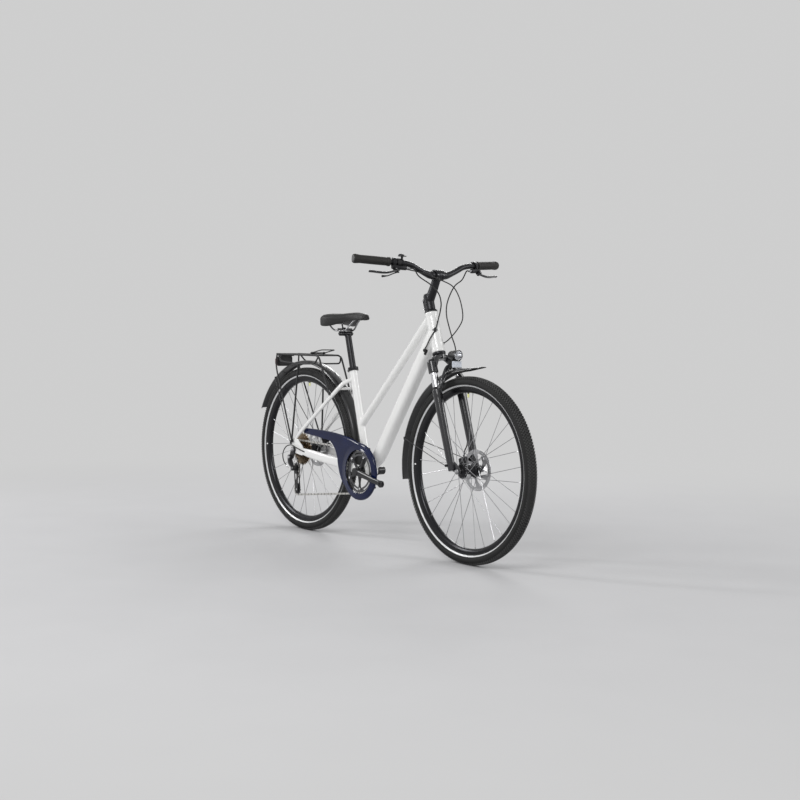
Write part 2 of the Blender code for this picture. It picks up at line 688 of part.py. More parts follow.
def build_stem():
    clamp = Vector((STEM_REACH, 0, STEM_CLAMP_HEIGHT))
    wide = Vector((0, 0.021, 0))
    base_low = HEAD_TUBE_LENGTH + UPPER_CUP_HEIGHT + FIT
    base_top = STEM_BASE_TOP - 0.0051
    base = spun([(0, base_low), (0.0195, base_low), (0.0195, base_top - 0.002),
                 (0.0180, base_top), (0, base_top)], 16, closed=False)
    arm = tube([Vector((0.004, 0, 0.212)), Vector((0.040, 0, 0.246)), clamp],
               [(0.034, 0.036), (0.032, 0.034), (0.032, 0.034)], 12)
    barrel = rod(clamp - wide, clamp + wide, 0.0215, sides=16)
    bar_bore = rod(clamp - wide * 1.5, clamp + wide * 1.5, BAR_CENTRE_RADIUS + FIT, sides=16)
    bore = rod(Vector((0, 0, base_low - 0.01)), Vector((0, 0, base_top + 0.01)),
               STEERER_RADIUS + 0.0004, sides=16)
    cap_seat = rod(Vector((0, 0, base_top)), Vector((0, 0, base_top + 0.03)), 0.0180, sides=16)
    piece("stem", "black_anodised", [base, arm, barrel],
          [bore, bar_bore.copy(), clamp_half_cut(True), cap_seat], frame=STEER,
          on="steering_axis")
    plate_barrel = rod(clamp - wide, clamp + wide, 0.0215, sides=16)
    piece("stem_faceplate", "black_anodised", [plate_barrel],
          [bar_bore, clamp_half_cut(False)], frame=STEER, on="steering_axis")
    cap = [(0, base_top + FIT), (0.0172, base_top + FIT), (0.0172, STEM_BASE_TOP - 0.0015),
           (0.0155, STEM_BASE_TOP), (0, STEM_BASE_TOP)]
    piece("stem_cap", "black_anodised", [spun(cap, 16, closed=False)], frame=STEER,
          on="steering_axis")


# Handlebar and controls

BAR_CENTRE = STEER @ Vector((STEM_REACH, 0, STEM_CLAMP_HEIGHT))
BAR_ROUTE = (
    # ahead of the clamp, distance from the middle plane, above the clamp
    (0.0000, 0.030, 0.0000), (0.0000, 0.045, 0.0010), (-0.0010, 0.075, 0.0110),
    (-0.0020, 0.100, 0.0220), (-0.0040, 0.125, 0.0335), (-0.0060, 0.145, 0.0385),
    (-0.0088, 0.165, 0.0414),
)
BAR_END = Vector((-0.0650, BAR_HALF_WIDTH, 0.0530))


def bar_point(ahead, out, above, side):
    return BAR_CENTRE + Vector((ahead, side * out, above))


CONTROL_ORIGIN = bar_point(*BAR_ROUTE[-1], -1)
CONTROL_OUT = (bar_point(*BAR_END, -1) - CONTROL_ORIGIN).normalized()
CONTROL_AHEAD = (Vector((1, 0, 0)) - CONTROL_OUT * CONTROL_OUT.x).normalized()
CONTROL_UP = CONTROL_OUT.cross(CONTROL_AHEAD)
# The right control frame: X ahead, Y up, Z outwards along the bar
CONTROL = Matrix.Translation(CONTROL_ORIGIN) @ Matrix(
    (CONTROL_AHEAD, CONTROL_UP, CONTROL_OUT)).transposed().to_4x4()
LEVER_DROP = -52.0
LEVER = CONTROL @ Matrix.Rotation(math.radians(LEVER_DROP), 4, "Z")
BAR_END_REACH = (bar_point(*BAR_END, -1) - CONTROL_ORIGIN).length - 0.0020


def build_handlebar():
    side_points = [bar_point(*station, 1) for station in BAR_ROUTE]
    out = (bar_point(*BAR_END, 1) - side_points[-1]).normalized()
    side_points.append(side_points[-1] + out * BAR_END_REACH)
    radii = [BAR_CENTRE_RADIUS, 0.0135] + [BAR_RADIUS] * (len(side_points) - 2)
    points = [Vector((p.x, -p.y, p.z)) for p in reversed(side_points)] + side_points
    sizes = [(2 * r, 2 * r) for r in reversed(radii)] + [(2 * r, 2 * r) for r in radii]
    piece("handlebar", "black_anodised", [tube(points, sizes, 12, Vector((1, 0, 0)))],
          on="steering_axis")


def right_and_left(name, finish, shapes, cuts=(), frame=CONTROL, on="steering_axis", pair=None):
    """A piece on the right of the bar and its mirror image on the left."""
    shapes = [placed(shape, frame) for shape in shapes]
    cuts = [placed(cut, frame) for cut in cuts]
    left_shapes = [mirrored(shape) for shape in shapes]
    left_cuts = [mirrored(cut) for cut in cuts]
    right_on, left_on = pair or (on, on)
    piece(name + "_right", finish, shapes, cuts, on=right_on)
    piece(name + "_left", finish, left_shapes, left_cuts, on=left_on)


def ring_shape(inner, outer, low, high, sides=14):
    return spun([(inner, low), (outer, low), (outer, high), (inner, high)], sides)


def build_grips():
    end = BAR_END_REACH
    bore = BAR_RADIUS + 2 * FIT
    profile = [(0, end + 0.0040), (0.0150, end + 0.0040), (0.0172, end + 0.0015),
               (0.0178, end - 0.0060), (0.0168, end - 0.0200), (GRIP_RADIUS, end - 0.0400),
               (GRIP_RADIUS, 0.0640), (0.0175, 0.0632), (0.0175, 0.0540), (0.0155, 0.0535),
               (bore, 0.0535), (bore, end + FIT), (0, end + FIT)]
    right_and_left("grip", "black_rubber", [spun(profile, 14, closed=False)])


LEVER_PIVOT = Vector((0.0395, 0.0, 0.036))
LEVER_ROUTE = ((0.0395, 0.036), (0.0475, 0.048), (0.0560, 0.072), (0.0585, 0.100),
               (0.0570, 0.130), (0.0575, 0.150))


def build_brakes():
    """Clamp and master cylinder, with the lever on a pin between two lugs."""
    turn = Matrix.Rotation(math.radians(LEVER_DROP), 4, "Z")
    shapes = [ring_shape(BAR_RADIUS + 2 * FIT, 0.0175, 0.0300, 0.0440),
              placed(block((0.0120, -0.0070, 0.0310), (0.0200, 0.0070, 0.0430)), turn),
              placed(rod((0.0252, 0, -0.0100), (0.0252, 0, 0.0500), 0.0085, sides=12), turn),
              placed(rod((0.0252, 0, -0.0240), (0.0252, 0, -0.0080), 0.0040, sides=8), turn)]
    for sign in (-1, 1):
        low, high = sorted((sign * 0.0060, sign * 0.0090))
        shapes.append(placed(block((0.0270, low, 0.0290), (0.0440, high, 0.0430)), turn))
    pin = rod(LEVER_PIVOT - Vector((0, 0.0075, 0)), LEVER_PIVOT + Vector((0, 0.0075, 0)),
              0.0020, sides=8)
    shapes.append(placed(pin, turn))
    right_and_left("brake_body", "black_anodised", shapes)

    root = rod(LEVER_PIVOT - Vector((0, 0.0057, 0)), LEVER_PIVOT + Vector((0, 0.0057, 0)),
               0.0050, sides=12)
    hole = rod(LEVER_PIVOT - Vector((0, 0.01, 0)), LEVER_PIVOT + Vector((0, 0.01, 0)),
               0.0026, sides=8)
    points = [Vector((x, 0, z)) for x, z in LEVER_ROUTE]
    sizes = [(0.0090, 0.0070), (0.0095, 0.0065), (0.0110, 0.0055), (0.0120, 0.0050),
             (0.0120, 0.0050), (0.0110, 0.0060)]
    blade = tube(points, sizes, 8)
    right_pivot = LEVER @ Matrix.Translation(LEVER_PIVOT)
    spot = right_pivot.to_translation()
    left_pivot = Matrix.Translation((spot.x, -spot.y, spot.z))
    pivot("brake_right_axis", right_pivot, "steering_axis")
    pivot("brake_left_axis", left_pivot, "steering_axis")
    right_and_left("brake_lever", "black_anodised", [root, blade], [hole], LEVER,
                   pair=("brake_right_axis", "brake_left_axis"))


SHIFT_PIVOT = Vector((-0.0060, -0.0345, 0.0190))


def build_shifter():
    shapes = [ring_shape(BAR_RADIUS + 2 * FIT, 0.0160, 0.0100, 0.0240),
              block((-0.0200, -0.0340, 0.0098), (0.0045, -0.0125, 0.0292), 0.0020),
              rod((-0.0030, -0.0230, -0.0060), (-0.0030, -0.0230, 0.0110), 0.0038, sides=8)]
    bore = rod((0, 0, 0), (0, 0, 0.05), BAR_RADIUS + 2 * FIT, sides=14)
    piece("shifter_body", "black_plastic", shapes, [bore], frame=CONTROL, on="steering_axis")
    pivot("shift_axis", CONTROL @ Matrix.Translation(SHIFT_PIVOT), "steering_axis")
    hub = rod(SHIFT_PIVOT - Vector((0, FIT, 0)), SHIFT_PIVOT - Vector((0, 0.0040, 0)),
              0.0090, sides=12)
    arm = tube([Vector((-0.0060, -0.0372, 0.0190)), Vector((-0.0010, -0.0440, 0.0380)),
                Vector((0.0050, -0.0535, 0.0600)), Vector((0.0080, -0.0575, 0.0840))],
               [(0.0040, 0.0100), (0.0040, 0.0080), (0.0045, 0.0080), (0.0090, 0.0120)], 8)
    piece("shift_thumb_lever", "black_plastic", [hub, arm], frame=CONTROL, on="shift_axis")


def build_bell():
    shapes = [ring_shape(BAR_RADIUS + 2 * FIT, 0.0150, 0.0006, 0.0090),
              block((-0.0040, 0.0130, 0.0010), (0.0040, 0.0240, 0.0086)),
              placed(spun([(0, 0.0230), (0.0130, 0.0230), (0.0130, 0.0268), (0.0115, 0.0308),
                           (0.0070, 0.0335), (0, 0.0343)], 12, closed=False),
                     Matrix.Translation((0, 0, 0.0080)) @ Matrix.Rotation(-math.pi / 2, 4, "X"))]
    piece("bell", "black_anodised", shapes, frame=CONTROL, on="steering_axis")
    spot = Vector((0.0160, 0.0225, 0.0080))
    pivot("bell_axis", CONTROL @ Matrix.Translation(spot), "steering_axis")
    shapes = [rod(spot, spot + Vector((0, 0.0045, 0)), 0.0025, sides=8),
              block(spot + Vector((-0.0010, 0.0010, -0.0140)), spot + Vector((0.0010, 0.0038, 0)))]
    piece("bell_striker", "black_plastic", shapes, frame=CONTROL, on="bell_axis")


# Fork lowers and what they carry, in the steering frame

AXLE_LOCAL = Vector((FORK_RAKE, 0.0, -AXLE_DROP))
LAMP_HINGE = Vector((0.0690, 0.0, -0.0700))
STAY_EYE = Vector((0.0080, 0.0, -0.4480))


def arch_points():
    """The fork arch, ahead of the crown's ends so that they clear it at full travel."""
    half = [(0.0300, 0.0600, -0.1560), (0.0490, 0.0570, -0.1440), (0.0535, 0.0470, -0.1160),
            (0.0530, 0.0200, -0.0780)]
    return [(x, -y, z) for x, y, z in half] + [(0.0525, 0.0, -0.0730)] + half[::-1]


def build_lowers():
    side = LEG_SPACING / 2
    shapes, cuts = [], []
    for sign in (-1, 1):
        top = Vector((LEG_OFFSET, sign * side, -LEG_TOP_DROP))
        foot = Vector((LEG_OFFSET, sign * side, -0.4700))
        shapes.append(rod(foot, top, LEG_FOOT_RADIUS, LEG_TOP_RADIUS, 12))
        cuts.append(rod(Vector((top.x, top.y, -0.345)), top + Vector((0, 0, 0.04)),
                        STANCHION_RADIUS + 0.0004, sides=16))
        low, high = sorted((sign * 0.0503, sign * 0.0575))
        outline = [(0.006, -0.440), (0.030, -0.436), (0.050, -0.462), (0.0600, -0.478),
                   (0.0560, -0.4900), (0.0340, -0.4900), (0.0250, -0.4780), (0.006, -0.4660)]
        shapes.append(plate(outline, low, high))
        cuts += axle_slot(AXLE_LOCAL, sign, 0.0450, 0.0620)
        eye = Vector((STAY_EYE.x, 0, STAY_EYE.z))
        shapes.append(rod(eye + Vector((0, sign * 0.064, 0)), eye + Vector((0, sign * 0.0755, 0)),
                          0.0052, sides=10))
        lug = sorted((sign * 0.0064, sign * 0.0094))
        shapes.append(block((0.0500, lug[0], -0.0770), (0.0745, lug[1], -0.0640)))
    shapes.append(tube([Vector(point) for point in arch_points()], [(0.012, 0.016)] * 9, 8,
                       Vector((1, 0, 0))))
    shapes.append(rod(LAMP_HINGE - Vector((0, 0.008, 0)), LAMP_HINGE + Vector((0, 0.008, 0)),
                      0.0022, sides=8))
    piece("fork_lowers", "black_paint", shapes, cuts, frame=STEER, on="fork_travel_axis")

    caliper = [block((-0.0400, 0.0285, -0.4650), (-0.0010, 0.0520, -0.4150), 0.003),
               block((-0.0120, 0.0460, -0.4600), (0.0018, 0.0660, -0.4200), 0.001)]
    slot = block((-0.0350, 0.0370, -0.4800), (0.0060, 0.0402, -0.4100))
    piece("front_caliper", "black_anodised", caliper, [slot], frame=STEER,
          on="fork_travel_axis")
    axle = [rod(AXLE_LOCAL - Vector((0, 0.0640, 0)), AXLE_LOCAL + Vector((0, 0.0640, 0)),
                AXLE_RADIUS, sides=12),
            rod(AXLE_LOCAL - Vector((0, 0.0700, 0)), AXLE_LOCAL - Vector((0, 0.0578, 0)),
                0.0085, sides=8),
            rod(AXLE_LOCAL + Vector((0, 0.0578, 0)), AXLE_LOCAL + Vector((0, 0.0700, 0)),
                0.0085, sides=12)]
    piece("front_axle", "steel", axle, frame=STEER, on="fork_travel_axis")


def lever_blade(centre):
    """A quick-release lever: its barrel lies along X, its blade points up."""
    barrel = rod(centre - Vector((0.0070, 0, 0)), centre + Vector((0.0070, 0, 0)), 0.0063,
                 sides=10)
    blade = tube([centre, centre + Vector((0, 0.0016, 0.022)), centre + Vector((0, 0.0010, 0.050))],
                 [(0.0060, 0.0110), (0.0050, 0.0110), (0.0040, 0.0090)], 8)
    return [barrel, blade]


def build_axle_levers():
    front = AXLE_LOCAL + Vector((0, 0.0768, 0))
    pivot("front_lever_axis", STEER @ Matrix.Translation(front), "fork_travel_axis")
    piece("front_axle_lever", "silver", lever_blade(front), frame=STEER, on="front_lever_axis")
    rear = REAR + Vector((0, 0.0906, 0))
    pivot("rear_lever_axis", Matrix.Translation(rear), "bike")
    piece("rear_axle_lever", "silver", lever_blade(rear), on="rear_lever_axis")
    side = Vector((0, 1, 0))
    axle = [rod(REAR - side * 0.0860, REAR + side * 0.0800, AXLE_RADIUS, sides=12),
            rod(REAR - side * 0.0880, REAR - side * 0.0781, 0.0085, sides=8),
            rod(REAR + side * 0.0738, REAR + side * 0.0838, 0.0085, sides=12)]
    piece("rear_axle", "steel", axle)


def around(centre, radius, degrees, y=0.0):
    angle = math.radians(degrees)
    return centre + Vector((radius * math.cos(angle), y, radius * math.sin(angle)))


def guard_shape(centre, first, last, steps):
    """A mudguard: a thin arched section carried round the wheel."""
    half = GUARD_WIDTH / 2
    edge = 0.3760
    outer = [(edge, -half), (GUARD_RADIUS + 0.0003, -0.018), (GUARD_RADIUS + 0.0020, 0.0),
             (GUARD_RADIUS + 0.0003, 0.018), (edge, half)]
    inner = [(edge, half - GUARD_WALL), (GUARD_RADIUS - 0.0020, 0.0168), (GUARD_RADIUS, 0.0),
             (GUARD_RADIUS - 0.0020, -0.0168), (edge, -half + GUARD_WALL)]
    rings = []
    for i in range(steps + 1):
        angle = first + (last - first) * i / steps
        rings.append([around(centre, r, angle, y) for r, y in outer + inner])
    return loft(rings)


def stay_wires(eye, anchor, face):
    """A pair of wire stays from eyelets beside the dropouts to a mudguard's edges."""
    shapes = []
    out = face + FIT + 0.0020
    for sign in (-1, 1):
        start = Vector((eye.x, sign * out, eye.z))
        finish = Vector((anchor.x, sign * 0.0254, anchor.z))
        bend = start.lerp(finish, 0.065)
        bend.y = start.y
        shapes.append(wire([start, bend, finish], 0.0016, 6))
        shapes.append(rod(start - Vector((0, sign * 0.0020, 0)),
                          start + Vector((0, sign * 0.0018, 0)), 0.0052, sides=8))
    return shapes


REAR_EYE = REAR + Vector((-0.0220, 0, 0.0260))


def build_mudguards():
    shapes = [guard_shape(REAR, -10.0, 155.0, 26)]
    shapes += stay_wires(REAR_EYE, around(REAR, 0.3795, 127.0), DROPOUT_INNER + DROPOUT_THICKNESS)
    clip = block((0.3875, -0.0070, -0.0050), (0.4012, 0.0070, 0.0050))
    bridge_angle = math.atan2(REAR.z - CHAIN_BRIDGE.z, CHAIN_BRIDGE.x - REAR.x)
    turn = Matrix.Translation(REAR) @ Matrix.Rotation(bridge_angle, 4, "Y")
    shapes.append(placed(clip, turn))
    piece("rear_mudguard", "black_plastic", shapes)

    shapes = [guard_shape(FRONT, 80.0, 190.0, 18)]
    eye = STEER @ STAY_EYE
    shapes += stay_wires(eye, around(FRONT, 0.3795, 165.0), 0.0755)
    tab = block((0.0400, -0.0080, -0.0930), (0.0467, 0.0080, -0.0660))
    shapes.append(placed(tab, STEER))
    piece("front_mudguard", "black_plastic", shapes, on="fork_travel_axis")


LAMP_LENS = Vector((0.4710, 0.0, 0.7910))


def build_headlamp():
    hinge = STEER @ LAMP_HINGE
    pivot("headlamp_axis", STEER @ Matrix.Translation(LAMP_HINGE), "fork_travel_axis")
    side = Vector((0, 1, 0))
    ahead = Vector((1, 0, 0))
    shapes = [
        tube([LAMP_LENS - ahead * 0.0520, LAMP_LENS - ahead * 0.0460, LAMP_LENS - ahead * 0.0240,
              LAMP_LENS - ahead * 0.0060],
             [(0.018, 0.018), (0.030, 0.030), (0.038, 0.038), (0.0410, 0.0410)], 16),
        block(hinge + Vector((0.0, -0.0058, -0.0040)), hinge + Vector((0.0190, 0.0058, 0.0040))),
        block((0.4520, -0.0205, 0.7450), (0.4600, 0.0205, 0.7790), 0.001),
        rod(hinge - side * 0.0060, hinge + side * 0.0060, 0.0055, sides=12),
    ]
    hole = rod(hinge - side * 0.02, hinge + side * 0.02, 0.0026, sides=8)
    piece("headlamp_body", "black_plastic", shapes, [hole], on="headlamp_axis")
    lens = [tube([LAMP_LENS - ahead * 0.0057, LAMP_LENS - ahead * 0.0010, LAMP_LENS + ahead * 0.0010],
                 [(0.0400, 0.0400), (0.0400, 0.0400), (0.0330, 0.0330)], 16),
            block((0.4603, -0.0225, 0.7445), (0.4645, 0.0225, 0.7690), 0.0008),
            block((0.4655, -0.0120, 0.7670), (0.4680, 0.0120, 0.7760)),
            block((0.4620, -0.0120, 0.7640), (0.4680, 0.0120, 0.7680))]
    piece("headlamp_lens", "clear_lens", lens, on="headlamp_axis")


# Drivetrain

CHAIN_LINE = -(FIRST_SPROCKET + CHAIN_SPROCKET * SPROCKET_SPACING)
GUIDE = REAR + Vector((-0.0185, 0, -0.0840))
TENSION = REAR + Vector((-0.0080, 0, -0.1785))


def pitch_radius(teeth):
    return PITCH / 2 / math.sin(math.pi / teeth)


def build_bottom_bracket():
    half = BB_SHELL_WIDTH / 2
    inner, bore = BB_BORE - 2 * FIT, 0.0126
    profile = [(bore, -0.0420), (0.0205, -0.0420), (0.0205, -half - FIT), (inner, -half - FIT),
               (inner, half + FIT), (0.0205, half + FIT), (0.0205, 0.0420), (bore, 0.0420)]
    piece("bottom_bracket", "black_anodised", [spun(profile, 16, along="Y")],
          frame=Matrix.Translation(BB))


def crank_arm(side, angle):
    """An arm from the boss to the eye for the pedal, and that eye's threaded hole."""
    heading = Vector((math.cos(math.radians(angle)), 0, math.sin(math.radians(angle))))
    middle = Vector((0, side * (CRANK_INNER + CRANK_THICKNESS / 2), 0))
    eye = middle + heading * CRANK_LENGTH
    half = Vector((0, CRANK_THICKNESS / 2, 0))
    arm = tube([middle, middle + heading * 0.030, middle + heading * 0.120, eye],
               [(0.0125, 0.0300), (0.0125, 0.0250), (0.0120, 0.0210), (0.0120, 0.0250)], 8)
    shapes = [arm, rod(eye - half, eye + half, 0.0145, sides=14)]
    hole = rod(eye - half * 2, eye + half * 2, 0.0071, sides=12)
    return shapes, hole


def build_cranks():
    pivot("crank_axis", Matrix.Translation(BB), "bike")
    at = Matrix.Translation(BB)
    shapes, hole = crank_arm(-1, CRANK_ANGLE)
    shapes.append(rod((0, -0.0755, 0), (0, -0.0425, 0), 0.0175, sides=16))
    shapes.append(rod((0, -0.0600, 0), (0, 0.0590, 0), 0.0120, sides=16))
    for i in range(5):
        angle = math.tau * i / 5 + math.radians(CRANK_ANGLE)
        heading = Vector((math.cos(angle), 0, math.sin(angle)))
        middle = Vector((0, -0.0500, 0))
        shapes.append(tube([middle + heading * 0.010, middle + heading * 0.0735],
                           [(0.0050, 0.0200), (0.0050, 0.0130)], 8))
    piece("crank_right", "black_anodised", shapes, [hole], frame=at, on="crank_axis")
    shapes, hole = crank_arm(1, CRANK_ANGLE + 180.0)
    shapes.append(rod((0, 0.0425, 0), (0, 0.0755, 0), 0.0175, sides=16))
    bore = rod((0, 0.0400, 0), (0, 0.0600, 0), 0.0124, sides=16)
    piece("crank_left", "black_anodised", shapes, [hole, bore], frame=at, on="crank_axis")
    piece("chainring", "steel", [chainring_shape()], frame=at, on="crank_axis")


def chainring_shape():
    pitch = pitch_radius(CHAINRING_TEETH)
    outline = []
    for i in range(CHAINRING_TEETH):
        for share, radius in ((0.0, pitch - 0.0040), (0.38, pitch + 0.0028),
                              (0.62, pitch + 0.0028)):
            angle = math.tau * (i + share) / CHAINRING_TEETH
            outline.append((radius * math.cos(angle), radius * math.sin(angle)))
    half = TOOTH_THICKNESS / 2
    return plate(outline, CHAIN_LINE - half, CHAIN_LINE + half, [circle(0, 0, 0.066, 30)])


def build_cassette():
    """Nine sprockets on one spacer sleeve, turned as one stepped body."""
    bore, spacer = 0.0172, 0.0200
    profile = [(bore, -0.0276), (spacer, -0.0276)]
    for k, teeth in enumerate(SPROCKETS):
        y = -(FIRST_SPROCKET + k * SPROCKET_SPACING)
        tip = pitch_radius(teeth) + 0.0024
        profile += [(spacer, y + 0.0008), (tip, y + 0.0008), (tip, y - 0.0008),
                    (spacer, y - 0.0008)]
    profile += [(spacer, -0.0651), (bore, -0.0651)]
    pivot("cassette_axis", Matrix.Translation(REAR), "bike")
    piece("cassette", "sprocket_steel", [spun(profile, 18, along="Y")],
          frame=Matrix.Translation(REAR), on="cassette_axis")


def pulley_shape():
    pitch = pitch_radius(PULLEY_TEETH)
    outline = []
    for i in range(PULLEY_TEETH):
        for share, radius in ((0.0, pitch - 0.0035), (0.36, pitch + 0.0018),
                              (0.64, pitch + 0.0018)):
            angle = math.tau * (i + share) / PULLEY_TEETH
            outline.append((radius * math.cos(angle), radius * math.sin(angle)))
    return plate(outline, CHAIN_LINE - 0.0011, CHAIN_LINE + 0.0011, [circle(0, 0, 0.0041, 12)])


CAGE_OUTER = (CHAIN_LINE - 0.0068, CHAIN_LINE - 0.0052)
CAGE_INNER = (CHAIN_LINE + 0.0052, CHAIN_LINE + 0.0068)


def cage_plate(low, high):
    along = (TENSION - GUIDE).normalized()
    heading = math.atan2(along.z, along.x)
    outline = []
    for centre, first in ((GUIDE, heading + math.pi / 2), (TENSION, heading - math.pi / 2)):
        for i in range(7):
            angle = first + math.pi * i / 6
            outline.append((centre.x + 0.0125 * math.cos(angle), centre.z + 0.0125 * math.sin(angle)))
    return plate(outline, low, high)


def build_derailleur():
    guide_place = Matrix.Translation(GUIDE)
    tension_place = Matrix.Translation(TENSION)
    pivot("cage_axis", guide_place, "bike")
    pivot("guide_pulley_axis", guide_place, "cage_axis")
    pivot("tension_pulley_axis", tension_place, "cage_axis")
    shapes = [cage_plate(*CAGE_OUTER), cage_plate(*CAGE_INNER)]
    for centre in (GUIDE, TENSION):
        shapes.append(rod(centre + Vector((0, CAGE_OUTER[0] + 0.0002, 0)),
                          centre + Vector((0, CAGE_INNER[1] - 0.0002, 0)), 0.0035, sides=12))
    piece("derailleur_cage", "black_anodised", shapes, on="cage_axis")
    piece("guide_pulley", "black_plastic", [pulley_shape()], frame=guide_place,
          on="guide_pulley_axis")
    piece("tension_pulley", "black_plastic", [pulley_shape()], frame=tension_place,
          on="tension_pulley_axis")

    knuckle = REAR + Vector((-0.0160, 0, -0.0340))
    outline = [(-0.014, 0.010), (0.010, 0.012), (0.016, 0.000), (0.010, -0.014),
               (0.000, -0.040), (-0.018, -0.047), (-0.029, -0.038), (-0.022, -0.012)]
    hanger = plate([(REAR.x + x, REAR.z + z) for x, z in outline], -0.0778, -0.0738)
    side = Vector((0, 1, 0))
    shapes = [hanger,
              rod(knuckle - side * 0.0900, knuckle - side * 0.0745, 0.0105, sides=12),
              tube([knuckle - side * 0.0835, (knuckle + GUIDE) / 2 - side * 0.0760,
                    GUIDE - side * 0.0650],
                   [(0.0110, 0.0200), (0.0140, 0.0240), (0.0100, 0.0220)], 8),
              rod(GUIDE - side * 0.0710, GUIDE + side * (CAGE_OUTER[0] - 0.0005), 0.0120,
                  sides=12)]
    hole = rod(REAR - side * 0.09, REAR - side * 0.07, AXLE_RADIUS + RUN, sides=16)
    piece("rear_derailleur", "black_anodised", shapes, [hole])


def chain_route():
    """The chain's middle line as (x, z) points with the normal towards its inner side."""
    stops = [(BB, pitch_radius(CHAINRING_TEETH)), (REAR, pitch_radius(SPROCKETS[CHAIN_SPROCKET])),
             (GUIDE, -pitch_radius(PULLEY_TEETH)), (TENSION, pitch_radius(PULLEY_TEETH))]
    tangents = []
    for i, (centre, radius) in enumerate(stops):
        after, next_radius = stops[(i + 1) % len(stops)]
        span = Vector((after.x - centre.x, after.z - centre.z))
        ahead = span.normalized()
        left = Vector((-ahead.y, ahead.x))
        lean = math.asin((radius - next_radius) / span.length)
        travel = ahead * math.cos(lean) + left * math.sin(lean)
        normal = Vector((-travel.y, travel.x))
        start = Vector((centre.x, centre.z)) - normal * radius
        finish = Vector((after.x, after.z)) - normal * next_radius
        tangents.append((start, finish, normal))
    route, spans = [], []
    for i, (centre, radius) in enumerate(stops):
        arrive = tangents[i - 1]
        leave = tangents[i]
        middle = Vector((centre.x, centre.z))
        first = math.atan2(*(arrive[1] - middle).yx)
        last = math.atan2(*(leave[0] - middle).yx)
        turn = (last - first) % math.tau if radius > 0 else -((first - last) % math.tau)
        steps = max(3, round(abs(turn) / math.radians(20)))
        for k in range(steps + 1):
            angle = first + turn * k / steps
            out = Vector((math.cos(angle), math.sin(angle)))
            route.append((middle + out * abs(radius), -out if radius > 0 else out))
        spans.append((leave[0], leave[1]))
    return route, spans


def build_chain():
    route, spans = chain_route()
    half = CHAIN_HEIGHT / 2
    outer = [tuple(point - normal * half) for point, normal in route]
    inner = [tuple(point + normal * half) for point, normal in route]
    near, far = CHAIN_GAP / 2, CHAIN_WIDTH / 2
    shapes = [plate(outer, CHAIN_LINE + near, CHAIN_LINE + far, [inner]),
              plate(outer, CHAIN_LINE - far, CHAIN_LINE - near, [inner])]
    for (start, finish), count in zip(spans, (6, 0, 1, 5)):
        for i in range(count):
            spot = start.lerp(finish, (i + 0.5) / count)
            at = Vector((spot.x, CHAIN_LINE, spot.y))
            reach = Vector((0, near + 0.0005, 0))
            shapes.append(rod(at - reach, at + reach, 0.0022, sides=8))
    piece("chain", "chain_steel", shapes)


CASE_TAIL = ((-0.060, 0.4108, 0.020), (-0.085, 0.4145, 0.030), (-0.188, 0.4375, 0.034),
             (-0.297, 0.4490, 0.037), (-0.400, 0.4525, 0.030), (-0.495, 0.4530, 0.022))


def build_chain_case():
    """A guard ring round the chainring with a tail along the upper chain."""
    at = Matrix.Translation(BB)
    face, back, wall = -CASE_OUTER, -CASE_INNER, CASE_WALL
    ring = spun([(CASE_OPENING, face), (CASE_RADIUS, face), (CASE_RADIUS, back),
                 (CASE_RADIUS - wall, back), (CASE_RADIUS - wall, face + wall),
                 (CASE_OPENING, face + wall)], 28, along="Y")
    exits = block((-0.1500, face + wall + 0.0003, -0.1300), (-0.0455, back + 0.002, 0.1055))
    ring = combine(placed(ring, at), [placed(exits, at)], "DIFFERENCE")
    rings = []
    for x, top, drop in CASE_TAIL:
        rings.append([Vector((x, y, z)) for y, z in (
            (face + 0.0002, top - drop), (face + 0.0002, top), (back, top), (back, top - wall),
            (face + wall, top - wall), (face + wall, top - drop))])
    inside = [around(BB, 0.112, angle) for angle in (112, 126, 140, 155, 170, 185, 200, 215)]
    skirt = [(-0.3000, 0.4130), (-0.2750, 0.3950), (-0.2560, 0.3720), (-0.2440, 0.3450),
             (-0.2370, 0.3150), (-0.2270, 0.2850), (-0.2110, 0.2550), (-0.1900, 0.2330)]
    skirt += [(p.x, p.z) for p in reversed(inside)]
    skirt += [(-0.1350, 0.4180), (-0.1880, 0.4250), (-0.2500, 0.4280)]
    shapes = [ring, loft(rings), plate(skirt, face + 0.0004, face + wall - 0.0002),
              placed(ring_shape(0.0212, 0.0275, -0.0405, -0.0385, 20),
                     at @ Matrix.Rotation(-math.pi / 2, 4, "X"))]
    for angle in (60.0, -30.0, -100.0):
        heading = Vector((math.cos(math.radians(angle)), 0, math.sin(math.radians(angle))))
        middle = BB + Vector((0, -0.0395, 0))
        shapes.append(tube([middle + heading * 0.0240, middle + heading * 0.1170],
                           [(0.0018, 0.0140), (0.0018, 0.0100)], 6))
        shapes.append(rod(BB + heading * 0.1145 + Vector((0, -0.0388, 0)),
                          BB + heading * 0.1145 + Vector((0, -0.0540, 0)), 0.0030, sides=8))
    piece("chain_case", "blue_smoke", shapes)


def build_rear_caliper():
    """The caliper in the angle between the left seat stay and chain stay."""
    centre = REAR + Vector((0.0580, 0, 0.0450))
    turn = Matrix.Translation(centre) @ Matrix.Rotation(math.radians(-37.8), 4, "Y")
    body = placed(block((-0.0170, 0.0435, -0.0200), (0.0220, 0.0625, 0.0200), 0.003), turn)
    slot = placed(block((-0.0300, 0.0510, -0.0300), (0.0100, 0.0544, 0.0300)), turn)
    foot = block((-0.4950, 0.0560, 0.3690), (-0.4650, 0.0671, 0.3860), 0.001)
    piece("rear_caliper", "black_anodised", [body, foot], [slot])


# Rack, its clip and the rear light

CLIP_HINGE = Vector((-0.4735, 0.0, 0.7790))


